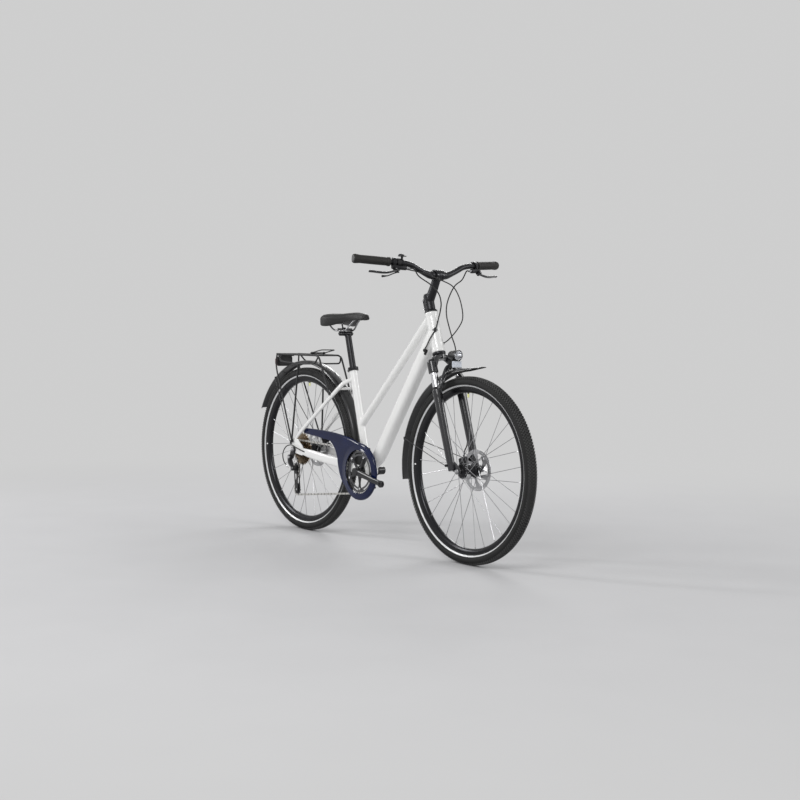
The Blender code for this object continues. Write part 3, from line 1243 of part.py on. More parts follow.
def build_rack():
    half = RACK_WIDTH / 2
    top = RACK_TOP
    shapes = []
    for side in (-1, 1):
        rail = [(-0.7117, half, top), (-0.7040, half, top), (-0.4200, half, top),
                (-0.3920, half, top + 0.001), (-0.3800, half, top - 0.008),
                (-0.3035, 0.0562, 0.6050)]
        shapes.append(wire([Vector((x, side * y, z)) for x, y, z in rail], RACK_ROD / 2 + 0.0015))
        lower = [(-0.6980, half, top - 0.003), (-0.6695, 0.066, 0.739), (-0.5202, 0.068, 0.7306),
                 (-0.4000, 0.066, 0.735), (-0.3860, half + 0.001, top - 0.006)]
        shapes.append(wire([Vector((x, side * y, z)) for x, y, z in lower], RACK_ROD / 2 + 0.001))
        shapes.append(wire([Vector((-0.5256, side * 0.067, 0.7306)),
                            Vector((-0.5340, side * 0.0705, 0.6250)),
                            Vector((-0.5530, side * 0.0795, 0.3930))], RACK_ROD / 2 + 0.0015))
        back_leg = [(-0.7100, half, top), (-0.7165, half + 0.002, 0.7290), (-0.7040, 0.0625, 0.6950),
                    (-0.5560, 0.0790, 0.3960)]
        shapes.append(wire([Vector((x, side * y, z)) for x, y, z in back_leg],
                           RACK_ROD / 2 + 0.0010))
        shapes.append(rod((-0.5530, side * 0.0738, 0.3930), (-0.5530, side * 0.0835, 0.3930),
                          0.0062, sides=10))
        shapes.append(rod((-0.7080, side * 0.022, top), (-0.3950, side * 0.022, top), 0.0035,
                          sides=6))
        low, high = sorted((side * 0.016, side * 0.029))
        shapes.append(block((CLIP_HINGE.x - 0.006, low, top), (CLIP_HINGE.x + 0.006, high, 0.7752)))
        arm = [Vector((-0.7117, side * 0.030, top)), Vector((-0.7300, side * 0.030, top - 0.010))]
        shapes.append(tube(arm, [(0.008, 0.004)] * 2, 6))
    for x in (-0.7100, -0.5450, -0.4000):
        shapes.append(rod((x, -half, top), (x, half, top), 0.0036, sides=6))
    shapes.append(block((-0.7325, -0.0340, 0.7220), (-0.7295, 0.0340, 0.7640)))
    piece("rack", "black_paint", shapes)

    pivot("rack_clip_axis", Matrix.Translation(CLIP_HINGE), "bike")
    reach, width = 0.0770, 0.035
    lift = 0.0150
    loop = [(0.0, -width, 0.0), (0.040, -width, lift * 0.55), (reach, -width, lift),
            (reach, width, lift), (0.040, width, lift * 0.55), (0.0, width, 0.0)]
    points = [CLIP_HINGE + Vector(p) for p in loop]
    points[2:4] = [CLIP_HINGE + Vector((reach - 0.006, -width, lift)),
                   CLIP_HINGE + Vector((reach, -width + 0.006, lift)),
                   CLIP_HINGE + Vector((reach, width - 0.006, lift)),
                   CLIP_HINGE + Vector((reach - 0.006, width, lift))]
    bar = rod(CLIP_HINGE - Vector((0, width + 0.003, 0)), CLIP_HINGE + Vector((0, width + 0.003, 0)),
              0.0034, sides=8)
    piece("rack_clip", "black_paint", [wire(points, 0.0024, 6), bar], on="rack_clip_axis")
    light = block((-0.7650, -0.0400, 0.7150), (-0.7328, 0.0400, 0.7570), 0.006)
    piece("rear_light", "red_lens", [light])


# Seat

def build_seat():
    pivot("seatpost_axis", SEAT, "bike")
    low = SEATPOST_TOP - SEATPOST_LENGTH
    post = placed(rod((0, 0, low), (0, 0, SEATPOST_TOP - 0.004), SEATPOST_RADIUS, sides=16), SEAT)
    head = block((-0.2900, -0.0280, 0.8560), (-0.2450, 0.0280, 0.8742), 0.004)
    bolt_hole = rod((-0.2780, 0, 0.8540), (-0.2780, 0, 0.8800), 0.0036, sides=8)
    piece("seatpost", "black_anodised", [post, head], [bolt_hole], on="seatpost_axis")
    clamp = block((-0.2920, -0.0280, 0.8818), (-0.2570, 0.0280, 0.8880), 0.0015)
    bolt = rod((-0.2780, 0, 0.8570), (-0.2780, 0, 0.8900), 0.0030, sides=8)
    piece("saddle_clamp", "black_anodised", [clamp, bolt], on="seatpost_axis")

    side_route = ((-0.3460, 0.0340, 0.9080), (-0.3380, 0.0320, 0.8980), (-0.3260, 0.0260, 0.8840),
                  (-0.3140, 0.0220, 0.8780), (-0.2480, 0.0220, 0.8780), (-0.2340, 0.0210, 0.8840),
                  (-0.2020, 0.0160, 0.9140), (-0.1760, 0.0110, 0.9290), (-0.1620, 0.0060, 0.9330))
    points = [Vector((x, -y, z)) for x, y, z in side_route]
    points += [Vector((x, y, z)) for x, y, z in reversed(side_route)]
    piece("saddle_rails", "steel", [wire(points, 0.0035, 8)], on="seatpost_axis")

    rings = []
    for x, half, top, edge in SADDLE_STATIONS:
        ring = []
        for share, lift in ((0.0, 0.0), (0.40, 0.0008), (0.72, 0.0040), (0.93, 0.0110),
                            (1.0, 0.0220)):
            ring.append(Vector((x, half * share, top - min(lift, (top - edge) * 0.7))))
        ring += [Vector((x, half * 0.93, edge)), Vector((x, half * 0.82, edge + 0.0030)),
                 Vector((x, half * 0.45, edge + 0.0090))]
        other = [Vector((p.x, -p.y, p.z)) for p in reversed(ring[1:])]
        rings.append(ring + other)
    socket_points = [points[0].lerp(points[1], -0.15)] + points[1:-1]
    socket_points.append(points[-1].lerp(points[-2], -0.15))
    socket = wire(socket_points, 0.0042, 8)
    piece("saddle", "saddle_cover", [loft(rings)], [socket], on="seatpost_axis", smooth=50)

    collar = SEAT_TUBE_LENGTH
    shapes = [ring_shape(SEAT_TUBE_RADIUS + 2 * FIT, 0.0218, collar - 0.0130, collar + 0.0025, 16),
              block((-0.0330, -0.0050, collar - 0.0110), (-0.0200, 0.0050, collar + 0.0005), 0.001),
              rod((-0.0280, -0.0110, collar - 0.0050), (-0.0280, 0.0110, collar - 0.0050),
                  0.0036, sides=8)]
    piece("seat_collar", "black_anodised", shapes, frame=SEAT)


SADDLE_STATIONS = (
    # x, half width, top, lower edge
    (-0.1170, 0.0110, 0.9400, 0.9310), (-0.1250, 0.0180, 0.9465, 0.9250),
    (-0.1530, 0.0210, 0.9520, 0.9220), (-0.1850, 0.0250, 0.9540, 0.9220),
    (-0.2200, 0.0350, 0.9525, 0.9180), (-0.2550, 0.0520, 0.9500, 0.9070),
    (-0.2900, 0.0680, 0.9495, 0.8980), (-0.3220, 0.0765, 0.9500, 0.8960),
    (-0.3500, 0.0765, 0.9490, 0.8980), (-0.3690, 0.0670, 0.9430, 0.9030),
    (-0.3780, 0.0500, 0.9350, 0.9120),
)


# Hoses and cables

def build_hoses():
    brake_end = LEVER @ Vector((0.0252, 0, -0.0250))
    left_end = Vector((brake_end.x, -brake_end.y, brake_end.z))
    lead = LEVER @ Vector((0.0252, 0, -0.0420))
    left_lead = Vector((lead.x, -lead.y, lead.z))
    mouth, bottom = (Vector(p) for p in PORTS["rear_brake"])
    rear_brake = [brake_end, lead, (0.3490, -0.1000, 1.0900), (0.3760, -0.0620, 1.0580),
                  (0.3900, -0.0360, 1.0260), (0.3760, -0.0110, 0.9900), (0.3560, 0.0010, 0.9560),
                  (0.3450, 0.0015, 0.9280), (0.3490, -0.0105, 0.8980), (0.3475, -0.0214, 0.8780),
                  (0.3363, -0.0290, 0.8560), (0.3186, -0.0300, 0.8300), mouth,
                  mouth.lerp(bottom, 0.45)]
    hose("rear_brake_hose", rear_brake, 0.0050, "bike")
    front_brake = [left_end, left_lead, (0.3260, 0.1350, 1.0850), (0.3130, 0.1100, 1.0610),
                   (0.3110, 0.0850, 1.0210), (0.3120, 0.0700, 0.9810), (0.3200, 0.0640, 0.9420),
                   (0.3320, 0.0660, 0.9030), (0.3450, 0.0720, 0.8600), (0.3560, 0.0830, 0.8100),
                   STEER @ Vector((-0.0100, 0.0860, -0.1000)),
                   STEER @ Vector((-0.0060, 0.0830, -0.2500)),
                   STEER @ Vector((-0.0120, 0.0680, -0.3560)),
                   STEER @ Vector((-0.0190, 0.0520, -0.3900)),
                   STEER @ Vector((-0.0200, 0.0450, -0.4142))]
    hose("front_brake_hose", front_brake, 0.0050, "steering_axis", spacing=0.022)
    shift_end = CONTROL @ Vector((-0.0030, -0.0230, -0.0063))
    shift_lead = CONTROL @ Vector((-0.0030, -0.0230, -0.0260))
    mouth, bottom = (Vector(p) for p in PORTS["shift"])
    shift = [shift_end, shift_lead, (0.3620, -0.0800, 1.1000), (0.4080, -0.0300, 1.0740),
             (0.4330, 0.0000, 1.0520), (0.4510, 0.0150, 1.0140), (0.4600, 0.0250, 0.9640),
             (0.4530, 0.0320, 0.9260), (0.4220, 0.0360, 0.8920), (0.3850, 0.0370, 0.8620),
             (0.3600, 0.0360, 0.8450), mouth, mouth.lerp(bottom, 0.45)]
    hose("shift_cable", shift, 0.0045, "bike")


def main():
    clear_scene()
    pivot("bike", WORLD)
    pivot("steering_axis", STEER, "bike")
    pivot("fork_travel_axis", STEER, "steering_axis")
    build_frame()
    build_headset()
    build_seat()
    build_mudguards()
    build_rack()
    build_wheels()
    build_bottom_bracket()
    build_cranks()
    build_cassette()
    build_derailleur()
    build_chain()
    build_chain_case()
    build_rear_caliper()
    build_crown()
    build_lockout_knob()
    build_stem()
    build_handlebar()
    build_grips()
    build_brakes()
    build_shifter()
    build_bell()
    build_lowers()
    build_axle_levers()
    build_headlamp()
    build_hoses()


main()
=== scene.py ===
"""Looks of a trekking bike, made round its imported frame.

Metres, in the frame's own axes: +X forward, +Y to the rider's left, +Z up.
"""
import json
from math import asin, atan2, copysign, cos, pi, radians, sin, tau

import bmesh
import bpy
from mathutils import Matrix, Vector


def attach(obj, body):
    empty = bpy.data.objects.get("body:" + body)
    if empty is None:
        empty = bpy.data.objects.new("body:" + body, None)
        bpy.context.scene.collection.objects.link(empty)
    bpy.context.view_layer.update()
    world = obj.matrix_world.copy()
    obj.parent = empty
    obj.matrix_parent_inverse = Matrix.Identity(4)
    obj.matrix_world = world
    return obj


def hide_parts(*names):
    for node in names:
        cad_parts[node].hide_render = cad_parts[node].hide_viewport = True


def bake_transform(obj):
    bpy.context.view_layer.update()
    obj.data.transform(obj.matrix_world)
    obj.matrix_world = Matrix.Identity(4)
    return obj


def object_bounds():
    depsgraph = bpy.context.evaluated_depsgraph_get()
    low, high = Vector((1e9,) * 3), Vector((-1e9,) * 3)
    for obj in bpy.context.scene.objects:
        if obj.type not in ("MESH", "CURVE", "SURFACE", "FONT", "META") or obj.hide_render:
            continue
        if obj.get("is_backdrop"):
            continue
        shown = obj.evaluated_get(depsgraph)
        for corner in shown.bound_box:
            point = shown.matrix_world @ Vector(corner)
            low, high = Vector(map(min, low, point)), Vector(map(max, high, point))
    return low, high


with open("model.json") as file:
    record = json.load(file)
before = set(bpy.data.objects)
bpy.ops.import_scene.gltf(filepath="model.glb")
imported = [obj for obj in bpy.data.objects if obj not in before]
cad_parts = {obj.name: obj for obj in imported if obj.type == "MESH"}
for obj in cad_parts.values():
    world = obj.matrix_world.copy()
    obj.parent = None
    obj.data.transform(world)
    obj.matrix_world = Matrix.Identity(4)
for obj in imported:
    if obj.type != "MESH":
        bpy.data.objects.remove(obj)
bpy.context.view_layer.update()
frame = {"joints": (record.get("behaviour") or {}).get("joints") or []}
scene = bpy.context.scene


# Camera
# A long lens in front of the bike on its right side, a little below the handlebar, held almost
# level and turned a touch, as the photograph was taken.
def standing(origin, first, second, third):
    """A frame of reference at origin with these three axes."""
    return Matrix.Translation(origin) @ Matrix((first, second, third)).transposed().to_4x4()


azimuth, elevation, roll = (radians(a) for a in (52.19, 2.97, 0.78))
back = Vector((sin(azimuth) * cos(elevation), -cos(azimuth) * cos(elevation), sin(elevation)))
level = Vector((cos(azimuth), sin(azimuth), 0.0))
camera_right = level * cos(roll) + back.cross(level) * sin(roll)
camera_data = bpy.data.cameras.new("camera")
camera_data.sensor_width = 36.0
camera_data.lens = 62.18
camera = bpy.data.objects.new("camera", camera_data)
camera.matrix_world = standing((4.4925, -3.399, 0.891), camera_right, back.cross(camera_right), back)
scene.collection.objects.link(camera)
scene.camera = camera


# Studio
# A plain pale floor under even light: two broad soft lamps, a long strip that draws a line of
# light along the tubes, and a pale world.
class Wire:
    """A socket in a material's nodes; sums on it add Math nodes."""

    def __init__(self, tree, socket=None):
        self.tree = tree
        self.socket = socket

    def node(self, kind, settings=None, sockets=None, output=0):
        """Adds a node: its settings are set first, then the values or links of its sockets."""
        made = self.tree.nodes.new("ShaderNode" + kind)
        for name, value in (settings or {}).items():
            setattr(made, name, value)
        for key, value in (sockets or {}).items():
            if isinstance(value, Wire):
                self.tree.links.new(value.socket, made.inputs[key])
            else:
                made.inputs[key].default_value = value
        return Wire(self.tree, made.outputs[output])

    def __add__(self, other):
        return self.node("Math", {"operation": "ADD"}, {0: self, 1: other})

    def __mul__(self, other):
        return self.node("Math", {"operation": "MULTIPLY"}, {0: self, 1: other})

    __radd__ = __add__
    __rmul__ = __mul__

    def blended(self, first, second):
        """A colour that goes from first to second as this value goes from 0 to 1."""
        colours = {0: self, 6: (*first, 1.0), 7: (*second, 1.0)}
        return self.node("Mix", {"data_type": "RGBA"}, colours, 2)

    def place(self):
        return self.node("TexCoord", output="Object")

    def noise(self, scale, detail=3.0):
        sockets = {"Vector": self.place(), "Scale": scale, "Detail": detail}
        return self.node("TexNoise", {}, sockets, "Fac")

    def cells(self, scale):
        sockets = {"Vector": self.place(), "Scale": scale}
        return self.node("TexVoronoi", {}, sockets, "Distance")

    def bumped(self, depth, strength=1.0):
        sockets = {"Height": self, "Distance": depth, "Strength": strength}
        return self.node("Bump", {}, sockets)


def new_material(name):
    """An empty material: its wire, and its Principled shader."""
    made = bpy.data.materials.new(name)
    made.use_nodes = True
    return made, Wire(made.node_tree), made.node_tree.nodes["Principled BSDF"]


def link(wire, shader, name):
    wire.tree.links.new(wire.socket, shader.inputs[name])


BACKDROP_GREY = 0.62
SKY_LIGHT = 0.45
FLOOR_REACH = 30.0
FADE_START = 1.2
FADE_END = 4.0


def seen_rays(wire):
    """1 for what the lens sees, straight, mirrored or through glass, and 0 for plain light."""
    kinds = ("Is Camera Ray", "Is Glossy Ray", "Is Transmission Ray")
    return sum((wire.node("LightPath", output=kind) for kind in kinds), start=0.0)


def floor_material():
    """Pale paper that fades into the backdrop's grey away from the bike, seen or mirrored."""
    made, wire, shader = new_material("floor_paper")
    link(wire.noise(3.0).blended((0.56, 0.56, 0.57), (0.6, 0.6, 0.61)), shader, "Base Color")
    shader.inputs["Roughness"].default_value = 0.9
    distance = wire.node("VectorMath", {"operation": "LENGTH"}, {0: wire.place()}, "Value")
    far = wire.node("MapRange", {"interpolation_type": "SMOOTHSTEP"},
        {"Value": distance, "From Min": FADE_START, "From Max": FADE_END}, "Result")
    seen = seen_rays(wire)
    glow = wire.node("Emission", {}, {"Color": (1.0, 1.0, 1.0, 1.0), "Strength": BACKDROP_GREY})
    paper = Wire(made.node_tree, shader.outputs[0])
    mixed = wire.node("MixShader", {}, {0: far * seen, 1: paper, 2: glow})
    link(mixed, made.node_tree.nodes["Material Output"], "Surface")
    return made


floor_mesh = bpy.data.meshes.new("floor")
floor_mesh.from_pydata([(x * FLOOR_REACH, y * FLOOR_REACH, 0)
    for x, y in ((-1, -1), (1, -1), (1, 1), (-1, 1))], [], [(0, 1, 2, 3)])
floor_mesh.materials.append(floor_material())
floor = bpy.data.objects.new("floor", floor_mesh)
scene.collection.objects.link(floor)
floor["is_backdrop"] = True


def lamp(name, place, size, power):
    """A soft lamp that points at the middle of the bike."""
    data = bpy.data.lights.new(name, "AREA")
    data.shape = "RECTANGLE"
    data.size, data.size_y = size
    data.energy = power
    made = bpy.data.objects.new(name, data)
    made.location = place
    made.rotation_euler = (Vector((0, 0, 0.5)) - Vector(place)).to_track_quat("-Z", "Y").to_euler()
    scene.collection.objects.link(made)


lamp("key_lamp", (2.6, -4.2, 3.4), (2.6, 1.8), 120.0)
lamp("side_lamp", (4.2, 3.6, 2.6), (2.2, 1.8), 70.0)
lamp("strip_lamp", (-3.2, -3.0, 2.4), (0.6, 2.6), 70.0)
lamp("back_lamp", (-3.0, 3.6, 3.0), (2.4, 1.6), 75.0)

world = bpy.data.worlds.new("studio")
scene.world = world
world.use_nodes = True
backdrop = world.node_tree.nodes["Background"]
backdrop.inputs["Color"].default_value = (1.0, 1.0, 1.0, 1.0)
link(SKY_LIGHT + seen_rays(Wire(world.node_tree)) * (BACKDROP_GREY - SKY_LIGHT), backdrop, "Strength")
scene.view_settings.view_transform = "Standard"
# Frame
# Welded aluminium tubes with smoothed seams under glossy white paint. The tubes are drawn as
# closed solids, fused on a fine grid, and the seams are then smoothed as a fitter files them.
def closed(bm, join=1e-6):
    bmesh.ops.remove_doubles(bm, verts=bm.verts, dist=join)
    bmesh.ops.recalc_face_normals(bm, faces=bm.faces)
    mesh = bpy.data.meshes.new("shape")
    bm.to_mesh(mesh)
    bm.free()
    return mesh


def skin(rings, ring_closed=False):
    """A surface over rings of points, with its ends filled unless it runs round to its start."""
    bm = bmesh.new()
    loops = [[bm.verts.new(point) for point in ring] for ring in rings]
    pairs = list(zip(loops, loops[1:]))
    if ring_closed:
        pairs.append((loops[-1], loops[0]))
    count = len(loops[0])
    for first, second in pairs:
        for i in range(count):
            j = (i + 1) % count
            bm.faces.new((first[i], first[j], second[j], second[i]))
    if not ring_closed:
        bm.faces.new(loops[0][::-1])
        bm.faces.new(loops[-1])
    return closed(bm)


def section(centre, along, width, depth, sides, side, squareness=2.0):
    """A ring square to along: an oval, or nearer a rectangle with more squareness."""
    across = (side - along * side.dot(along)).normalized()
    up = along.cross(across)
    ring = []
    for i in range(sides):
        angle = tau * (i + 0.5) / sides
        c, s = cos(angle), sin(angle)
        reach = (abs(c) ** squareness + abs(s) ** squareness) ** (-1.0 / squareness)
        ring.append(centre + across * (width / 2 * c * reach) + up * (depth / 2 * s * reach))
    return ring


def eased(values, steps):
    """Points or sizes on a smooth curve through the ones given, steps to each stretch."""
    values = [Vector(v) for v in values]
    if len(values) == 2:
        return [values[0].lerp(values[1], i / steps) for i in range(steps + 1)]
    ends = [2 * values[0] - values[1]] + values + [2 * values[-1] - values[-2]]
    fine = []
    for i in range(len(values) - 1):
        a, b, c, d = ends[i:i + 4]
        for k in range(steps):
            t = k / steps
            fine.append(0.5 * (2 * b + (c - a) * t + (2 * a - 5 * b + 4 * c - d) * t * t
                + (3 * b - a - 3 * c + d) * t ** 3))
    fine.append(values[-1])
    return fine


ACROSS = Vector((0.0, 1.0, 0.0))


def tube(points, sizes, sides=24, side=ACROSS, steps=8, squareness=2.0, dome=0.0):
    """A tube along a smooth line; each size is (width towards side, depth)."""
    line = eased(points, steps)
    sizes = [(s, s) if isinstance(s, float) else s for s in sizes]
    spans = eased([(w, d, 0.0) for w, d in sizes], steps)
    ends = [line[0]] + line + [line[-1]]
    headings = [(ends[i + 2] - ends[i]).normalized() for i in range(len(line))]
    rings = [section(p, h, s.x, s.y, sides, side, squareness) for p, h, s in zip(line, headings, spans)]
    if dome:
        for k in (1, 2, 3):
            turn = pi / 2 * k / 3.4
            for end, heading, size in ((0, -headings[0], spans[0]), (-1, headings[-1], spans[-1])):
                middle = line[end] + heading * dome * sin(turn)
                ring = section(middle, headings[end], size.x * cos(turn), size.y * cos(turn), sides,
                    side, squareness)
                if end:
                    rings.append(ring)
                else:
                    rings.insert(0, ring)
    return skin(rings)


def cord_tube(points, radius, sides=10, steps=6):
    """A round wire or hose: its section is carried along the line without twisting."""
    line = eased(points, steps)
    ends = [line[0]] + line + [line[-1]]
    across = (line[1] - line[0]).orthogonal().normalized()
    rings = []
    for i, point in enumerate(line):
        heading = (ends[i + 2] - ends[i]).normalized()
        across = (across - heading * across.dot(heading)).normalized()
        up = heading.cross(across)
        rings.append([point + (across * cos(a) + up * sin(a)) * radius
            for a in (tau * k / sides for k in range(sides))])
    return skin(rings)


def softened(profile, radius, steps=3, loop=True):
    """The same outline with its corners rounded to a radius, where they are long enough."""
    points = [Vector((p[0], p[1])) for p in profile]
    made = []
    count = len(points)
    for i, corner in enumerate(points):
        if not loop and i in (0, count - 1):
            made.append(tuple(corner))
            continue
        before, after = points[i - 1] - corner, points[(i + 1) % count] - corner
        cut = min(radius, before.length * 0.45, after.length * 0.45)
        start, finish = corner + before.normalized() * cut, corner + after.normalized() * cut
        for k in range(steps + 1):
            t = k / steps
            spot = start * (1 - t) ** 2 + corner * 2 * t * (1 - t) + finish * t * t
            made.append((spot.x, spot.y))
    return made


def turned(profile, centre=Vector(), along=ACROSS, steps=48, soft=0.0, loop=True):
    """A profile of (radius, place along the axis) turned round an axis through centre."""
    if soft:
        profile = softened(profile, soft, loop=profile[0][0] > 0)
    centre = Vector(centre)
    along = Vector(along).normalized()
    across = along.orthogonal().normalized()
    up = along.cross(across)
    bm = bmesh.new()
    loops = []
    for i in range(steps):
        angle = tau * i / steps
        out = across * cos(angle) + up * sin(angle)
        loops.append([bm.verts.new(centre + out * r + along * h) for r, h in profile])
    count = len(profile)
    for first, second in zip(loops, loops[1:] + loops[:1]):
        for k in range(count if loop else count - 1):
            j = (k + 1) % count
            if profile[k][0] or profile[j][0]:
                bm.faces.new((first[k], first[j], second[j], second[k]))
    return closed(bm)


def slab(outline, near, far, holes=(), bevel=0.0):
    """A plate in the XZ plane from near to far along Y, with holes and softened edges."""
    bm = bmesh.new()
    for points in (outline, *holes):
        verts = [bm.verts.new((x, near, z)) for x, z in points]
        for i, vert in enumerate(verts):
            bm.edges.new((vert, verts[(i + 1) % len(verts)]))
    bmesh.ops.triangle_fill(bm, edges=bm.edges[:], use_beauty=True, use_dissolve=False)
    grown = bmesh.ops.extrude_face_region(bm, geom=bm.faces[:])
    moved = [item for item in grown["geom"] if isinstance(item, bmesh.types.BMVert)]
    bmesh.ops.translate(bm, verts=moved, vec=(0, far - near, 0))
    if bevel:
        bmesh.ops.recalc_face_normals(bm, faces=bm.faces)
        rims = [e for e in bm.edges if len(e.link_faces) == 2 and abs(e.verts[0].co.y
            - e.verts[1].co.y) < 1e-7 and e.calc_face_angle() > 1.0]
        bmesh.ops.bevel(bm, geom=rims, offset=bevel, segments=2, affect="EDGES", profile=0.5,
            clamp_overlap=True)
    return closed(bm)


def circle(x, z, radius, sides=32, turn=0.0):
    angles = [tau * i / sides + turn for i in range(sides)]
    return [(x + radius * cos(a), z + radius * sin(a)) for a in angles]


def brick(low, high, bevel=0.001, segments=2):
    bm = bmesh.new()
    bmesh.ops.create_cube(bm, size=1.0)
    low, high = Vector(low), Vector(high)
    for vert in bm.verts:
        vert.co = Vector(vert.co[i] * (high - low)[i] for i in range(3)) + (low + high) / 2
    if bevel:
        bmesh.ops.bevel(bm, geom=bm.edges[:], offset=bevel, segments=segments, affect="EDGES")
    return closed(bm, 1e-7)


def mm(*points):
    """Points given in millimetres, as on a drawing."""
    return [tuple(v / 1000 for v in point) for point in points]


def placed(mesh, matrix):
    mesh.transform(matrix)
    return mesh


def moved(mesh, spot):
    return placed(mesh, Matrix.Translation(spot))


def flipped(mesh):
    """The mirror image of a shape on the other side of the bike."""
    other = mesh.copy()
    other.transform(Matrix.Scale(-1.0, 4, ACROSS))
    other.flip_normals()
    return other


def together(*meshes):
    bm = bmesh.new()
    for mesh in meshes:
        bm.from_mesh(mesh)
    made = bpy.data.meshes.new("shape")
    bm.to_mesh(made)
    bm.free()
    return made


def put(name, mesh, body, finish, node=None, sharp=38.0, span=None):
    """A finished piece: it rides on a body, or, given a span, it stays where it is drawn and rides on
    none.
    """
    material, slot = finish
    mesh.name = name
    mesh.materials.clear()
    mesh.materials.append(material)
    mesh.shade_smooth()
    mesh.set_sharp_from_angle(angle=radians(sharp))
    made = bpy.data.objects.new(name, mesh)
    scene.collection.objects.link(made)
    if span:
        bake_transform(made)
    else:
        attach(made, body)
    if node:
        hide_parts(node)
    return made


def evaluated(holder):
    """The plain mesh that an object's modifiers make; the object itself is removed."""
    graph = bpy.context.evaluated_depsgraph_get()
    made = bpy.data.meshes.new_from_object(holder.evaluated_get(graph))
    bpy.data.objects.remove(holder)
    return made


def fused(mesh, grid, filing, polish=12):
    """Overlapping closed solids made one on a grid: the seams are filed, then polished.

    Each polishing stroke is followed by one outwards, so that thin tubes keep their size.
    """
    holder = bpy.data.objects.new("fused", mesh)
    scene.collection.objects.link(holder)
    remesh = holder.modifiers.new("grid", "REMESH")
    remesh.mode = "VOXEL"
    remesh.voxel_size = grid
    for strength, rounds in [(0.5, filing)] + [(0.5, 1), (-0.53, 1)] * polish:
        smooth = holder.modifiers.new("stroke", "SMOOTH")
        smooth.factor = strength
        smooth.iterations = rounds
    return evaluated(holder)


def surface(name, slot, tones, clouds, rough, relief=None, even=None):
    """A material and its slot: two tones in clouds, a drifting roughness and a fine relief.

    clouds is a noise scale, rough is (least, noise scale, spread), relief is (noise scale,
    detail, depth, strength), and even holds the sockets that are the same all over.
    """
    made, wire, shader = new_material(name)
    link(wire.noise(clouds).blended(*tones), shader, "Base Color")
    link(rough[0] + wire.noise(rough[1]) * rough[2], shader, "Roughness")
    if relief:
        scale, detail, depth, strength = relief
        link(wire.noise(scale, detail).bumped(depth, strength), shader, "Normal")
    for socket, value in (even or {}).items():
        shader.inputs[socket].default_value = value
    return made, slot


def joint(name):
    return next(j for j in frame["joints"] if j["name"] == name)


def pivot(name):
    return Vector(joint(name)["pos_m"])


FRONT = pivot("front_wheel_spin")
REAR = pivot("rear_wheel_spin")
WHEELS = (("front", FRONT), ("rear", REAR))
BB = pivot("crank_spin")
HEAD_FOOT = pivot("steering")
HEAD_UP = Vector(joint("steering")["axis"]).normalized()
SEAT_UP = Vector(joint("seatpost_slide")["axis"]).normalized()
STEER = standing(HEAD_FOOT, (HEAD_UP.z, 0.0, -HEAD_UP.x), ACROSS, HEAD_UP)
SEAT = standing(BB, (SEAT_UP.z, 0.0, -SEAT_UP.x), ACROSS, SEAT_UP)
AHEAD = Vector((1.0, 0.0, 0.0))
UP = Vector((0.0, 0.0, 1.0))


def upright_turned(profile, x=0.0, y=0.0, steps=48, soft=0.0):
    return turned(profile, Vector((x, y, 0.0)), UP, steps, soft)


WHITE = surface("white_paint", "white_paint", ((0.8, 0.8, 0.79), (0.86, 0.86, 0.85)), 9.0,
    (0.2, 60.0, 0.08), (420.0, 1.0, 0.00006, 1.0), {"Coat Weight": 0.5, "Coat Roughness": 0.08})
FRAME_GRID = 0.0023
HEAD_LENGTH = 0.162
SEAT_TUBE = 0.441
CHAIN_STAY = ((BB.x + 0.005, 0.024, 0.3, 0.022, 0.036), (BB.x - 0.045, 0.033, 0.305, 0.013, 0.04),
    (-0.1975, 0.0365, 0.315, 0.012, 0.04), (-0.3, 0.0525, 0.329, 0.016, 0.038),
    (-0.43, 0.065, 0.346, 0.015, 0.036), (-0.506, 0.0705, 0.3545, 0.0066, 0.024))
SEAT_STAY = mm((-190, 6, 678, 14, 18), (-222, 26, 664, 14, 18), (-262, 41.5, 632, 14, 18),
    (-475.5, 64, 459, 13, 17), (-542, 70.5, 400, 6.6, 14))
DOWN_TUBE = (BB + Vector((0.006, 0, -0.004)), BB + Vector((0.036, 0, 0.036)), (-0.014, 0, 0.375),
    (0.085, 0, 0.519), (0.329, 0, 0.875))
CHAIN_BRIDGE = Vector((-0.14, 0.0, 0.305))


def stationed(stations, sides, squareness, side=ACROSS, steps=8):
    """A tube through stations of (x, y, z, width, depth)."""
    return tube([s[:3] for s in stations], [s[3:] for s in stations], sides, side, steps, squareness)


def frame_tubes():
    head = [(0, 0), (0.0262, 0), (0.0262, 0.01), (0.0248, 0.016), (0.0248, HEAD_LENGTH - 0.016),
        (0.0262, HEAD_LENGTH - 0.01), (0.0262, HEAD_LENGTH), (0, HEAD_LENGTH)]
    shapes = [placed(upright_turned(head), STEER),
        placed(upright_turned([(0, 0), (0.0175, 0), (0.0175, SEAT_TUBE), (0, SEAT_TUBE)]), SEAT),
        turned(mm((0, -34), (21.5, -34), (21.5, 34), (0, 34)), BB),
        tube(mm((-145.6, 0, 486), (307, 0, 942)), [0.03, 0.036], 28),
        tube(DOWN_TUBE, mm((44, 40), (48, 48)) + [(0.05, 0.056)] * 3, 32, squareness=2.7)]
    for x, half, z in ((-0.2613, 0.04, 0.6327), (CHAIN_BRIDGE.x, 0.034, CHAIN_BRIDGE.z)):
        shapes.append(tube([(x, -half, z), (x, half, z)], [0.012, 0.012], 16, side=UP))
    for stations, squareness in ((CHAIN_STAY, 3.2), (SEAT_STAY, 3.0)):
        left = stationed(stations, 20, squareness)
        shapes += [left, flipped(left)]
    return fused(together(*shapes), FRAME_GRID, 4, 20)


put("frame_tubes", frame_tubes(), "bike", WHITE, "frame", 60.0)
DROPOUT = mm((-34, 22), (-29, 34), (1, 52), (21, 46), (60, 20), (74, -1), (64, -23), (30, -18),
    (12, -15), (-10, -15), (-17, 3))
HUB_HALF = 0.0675


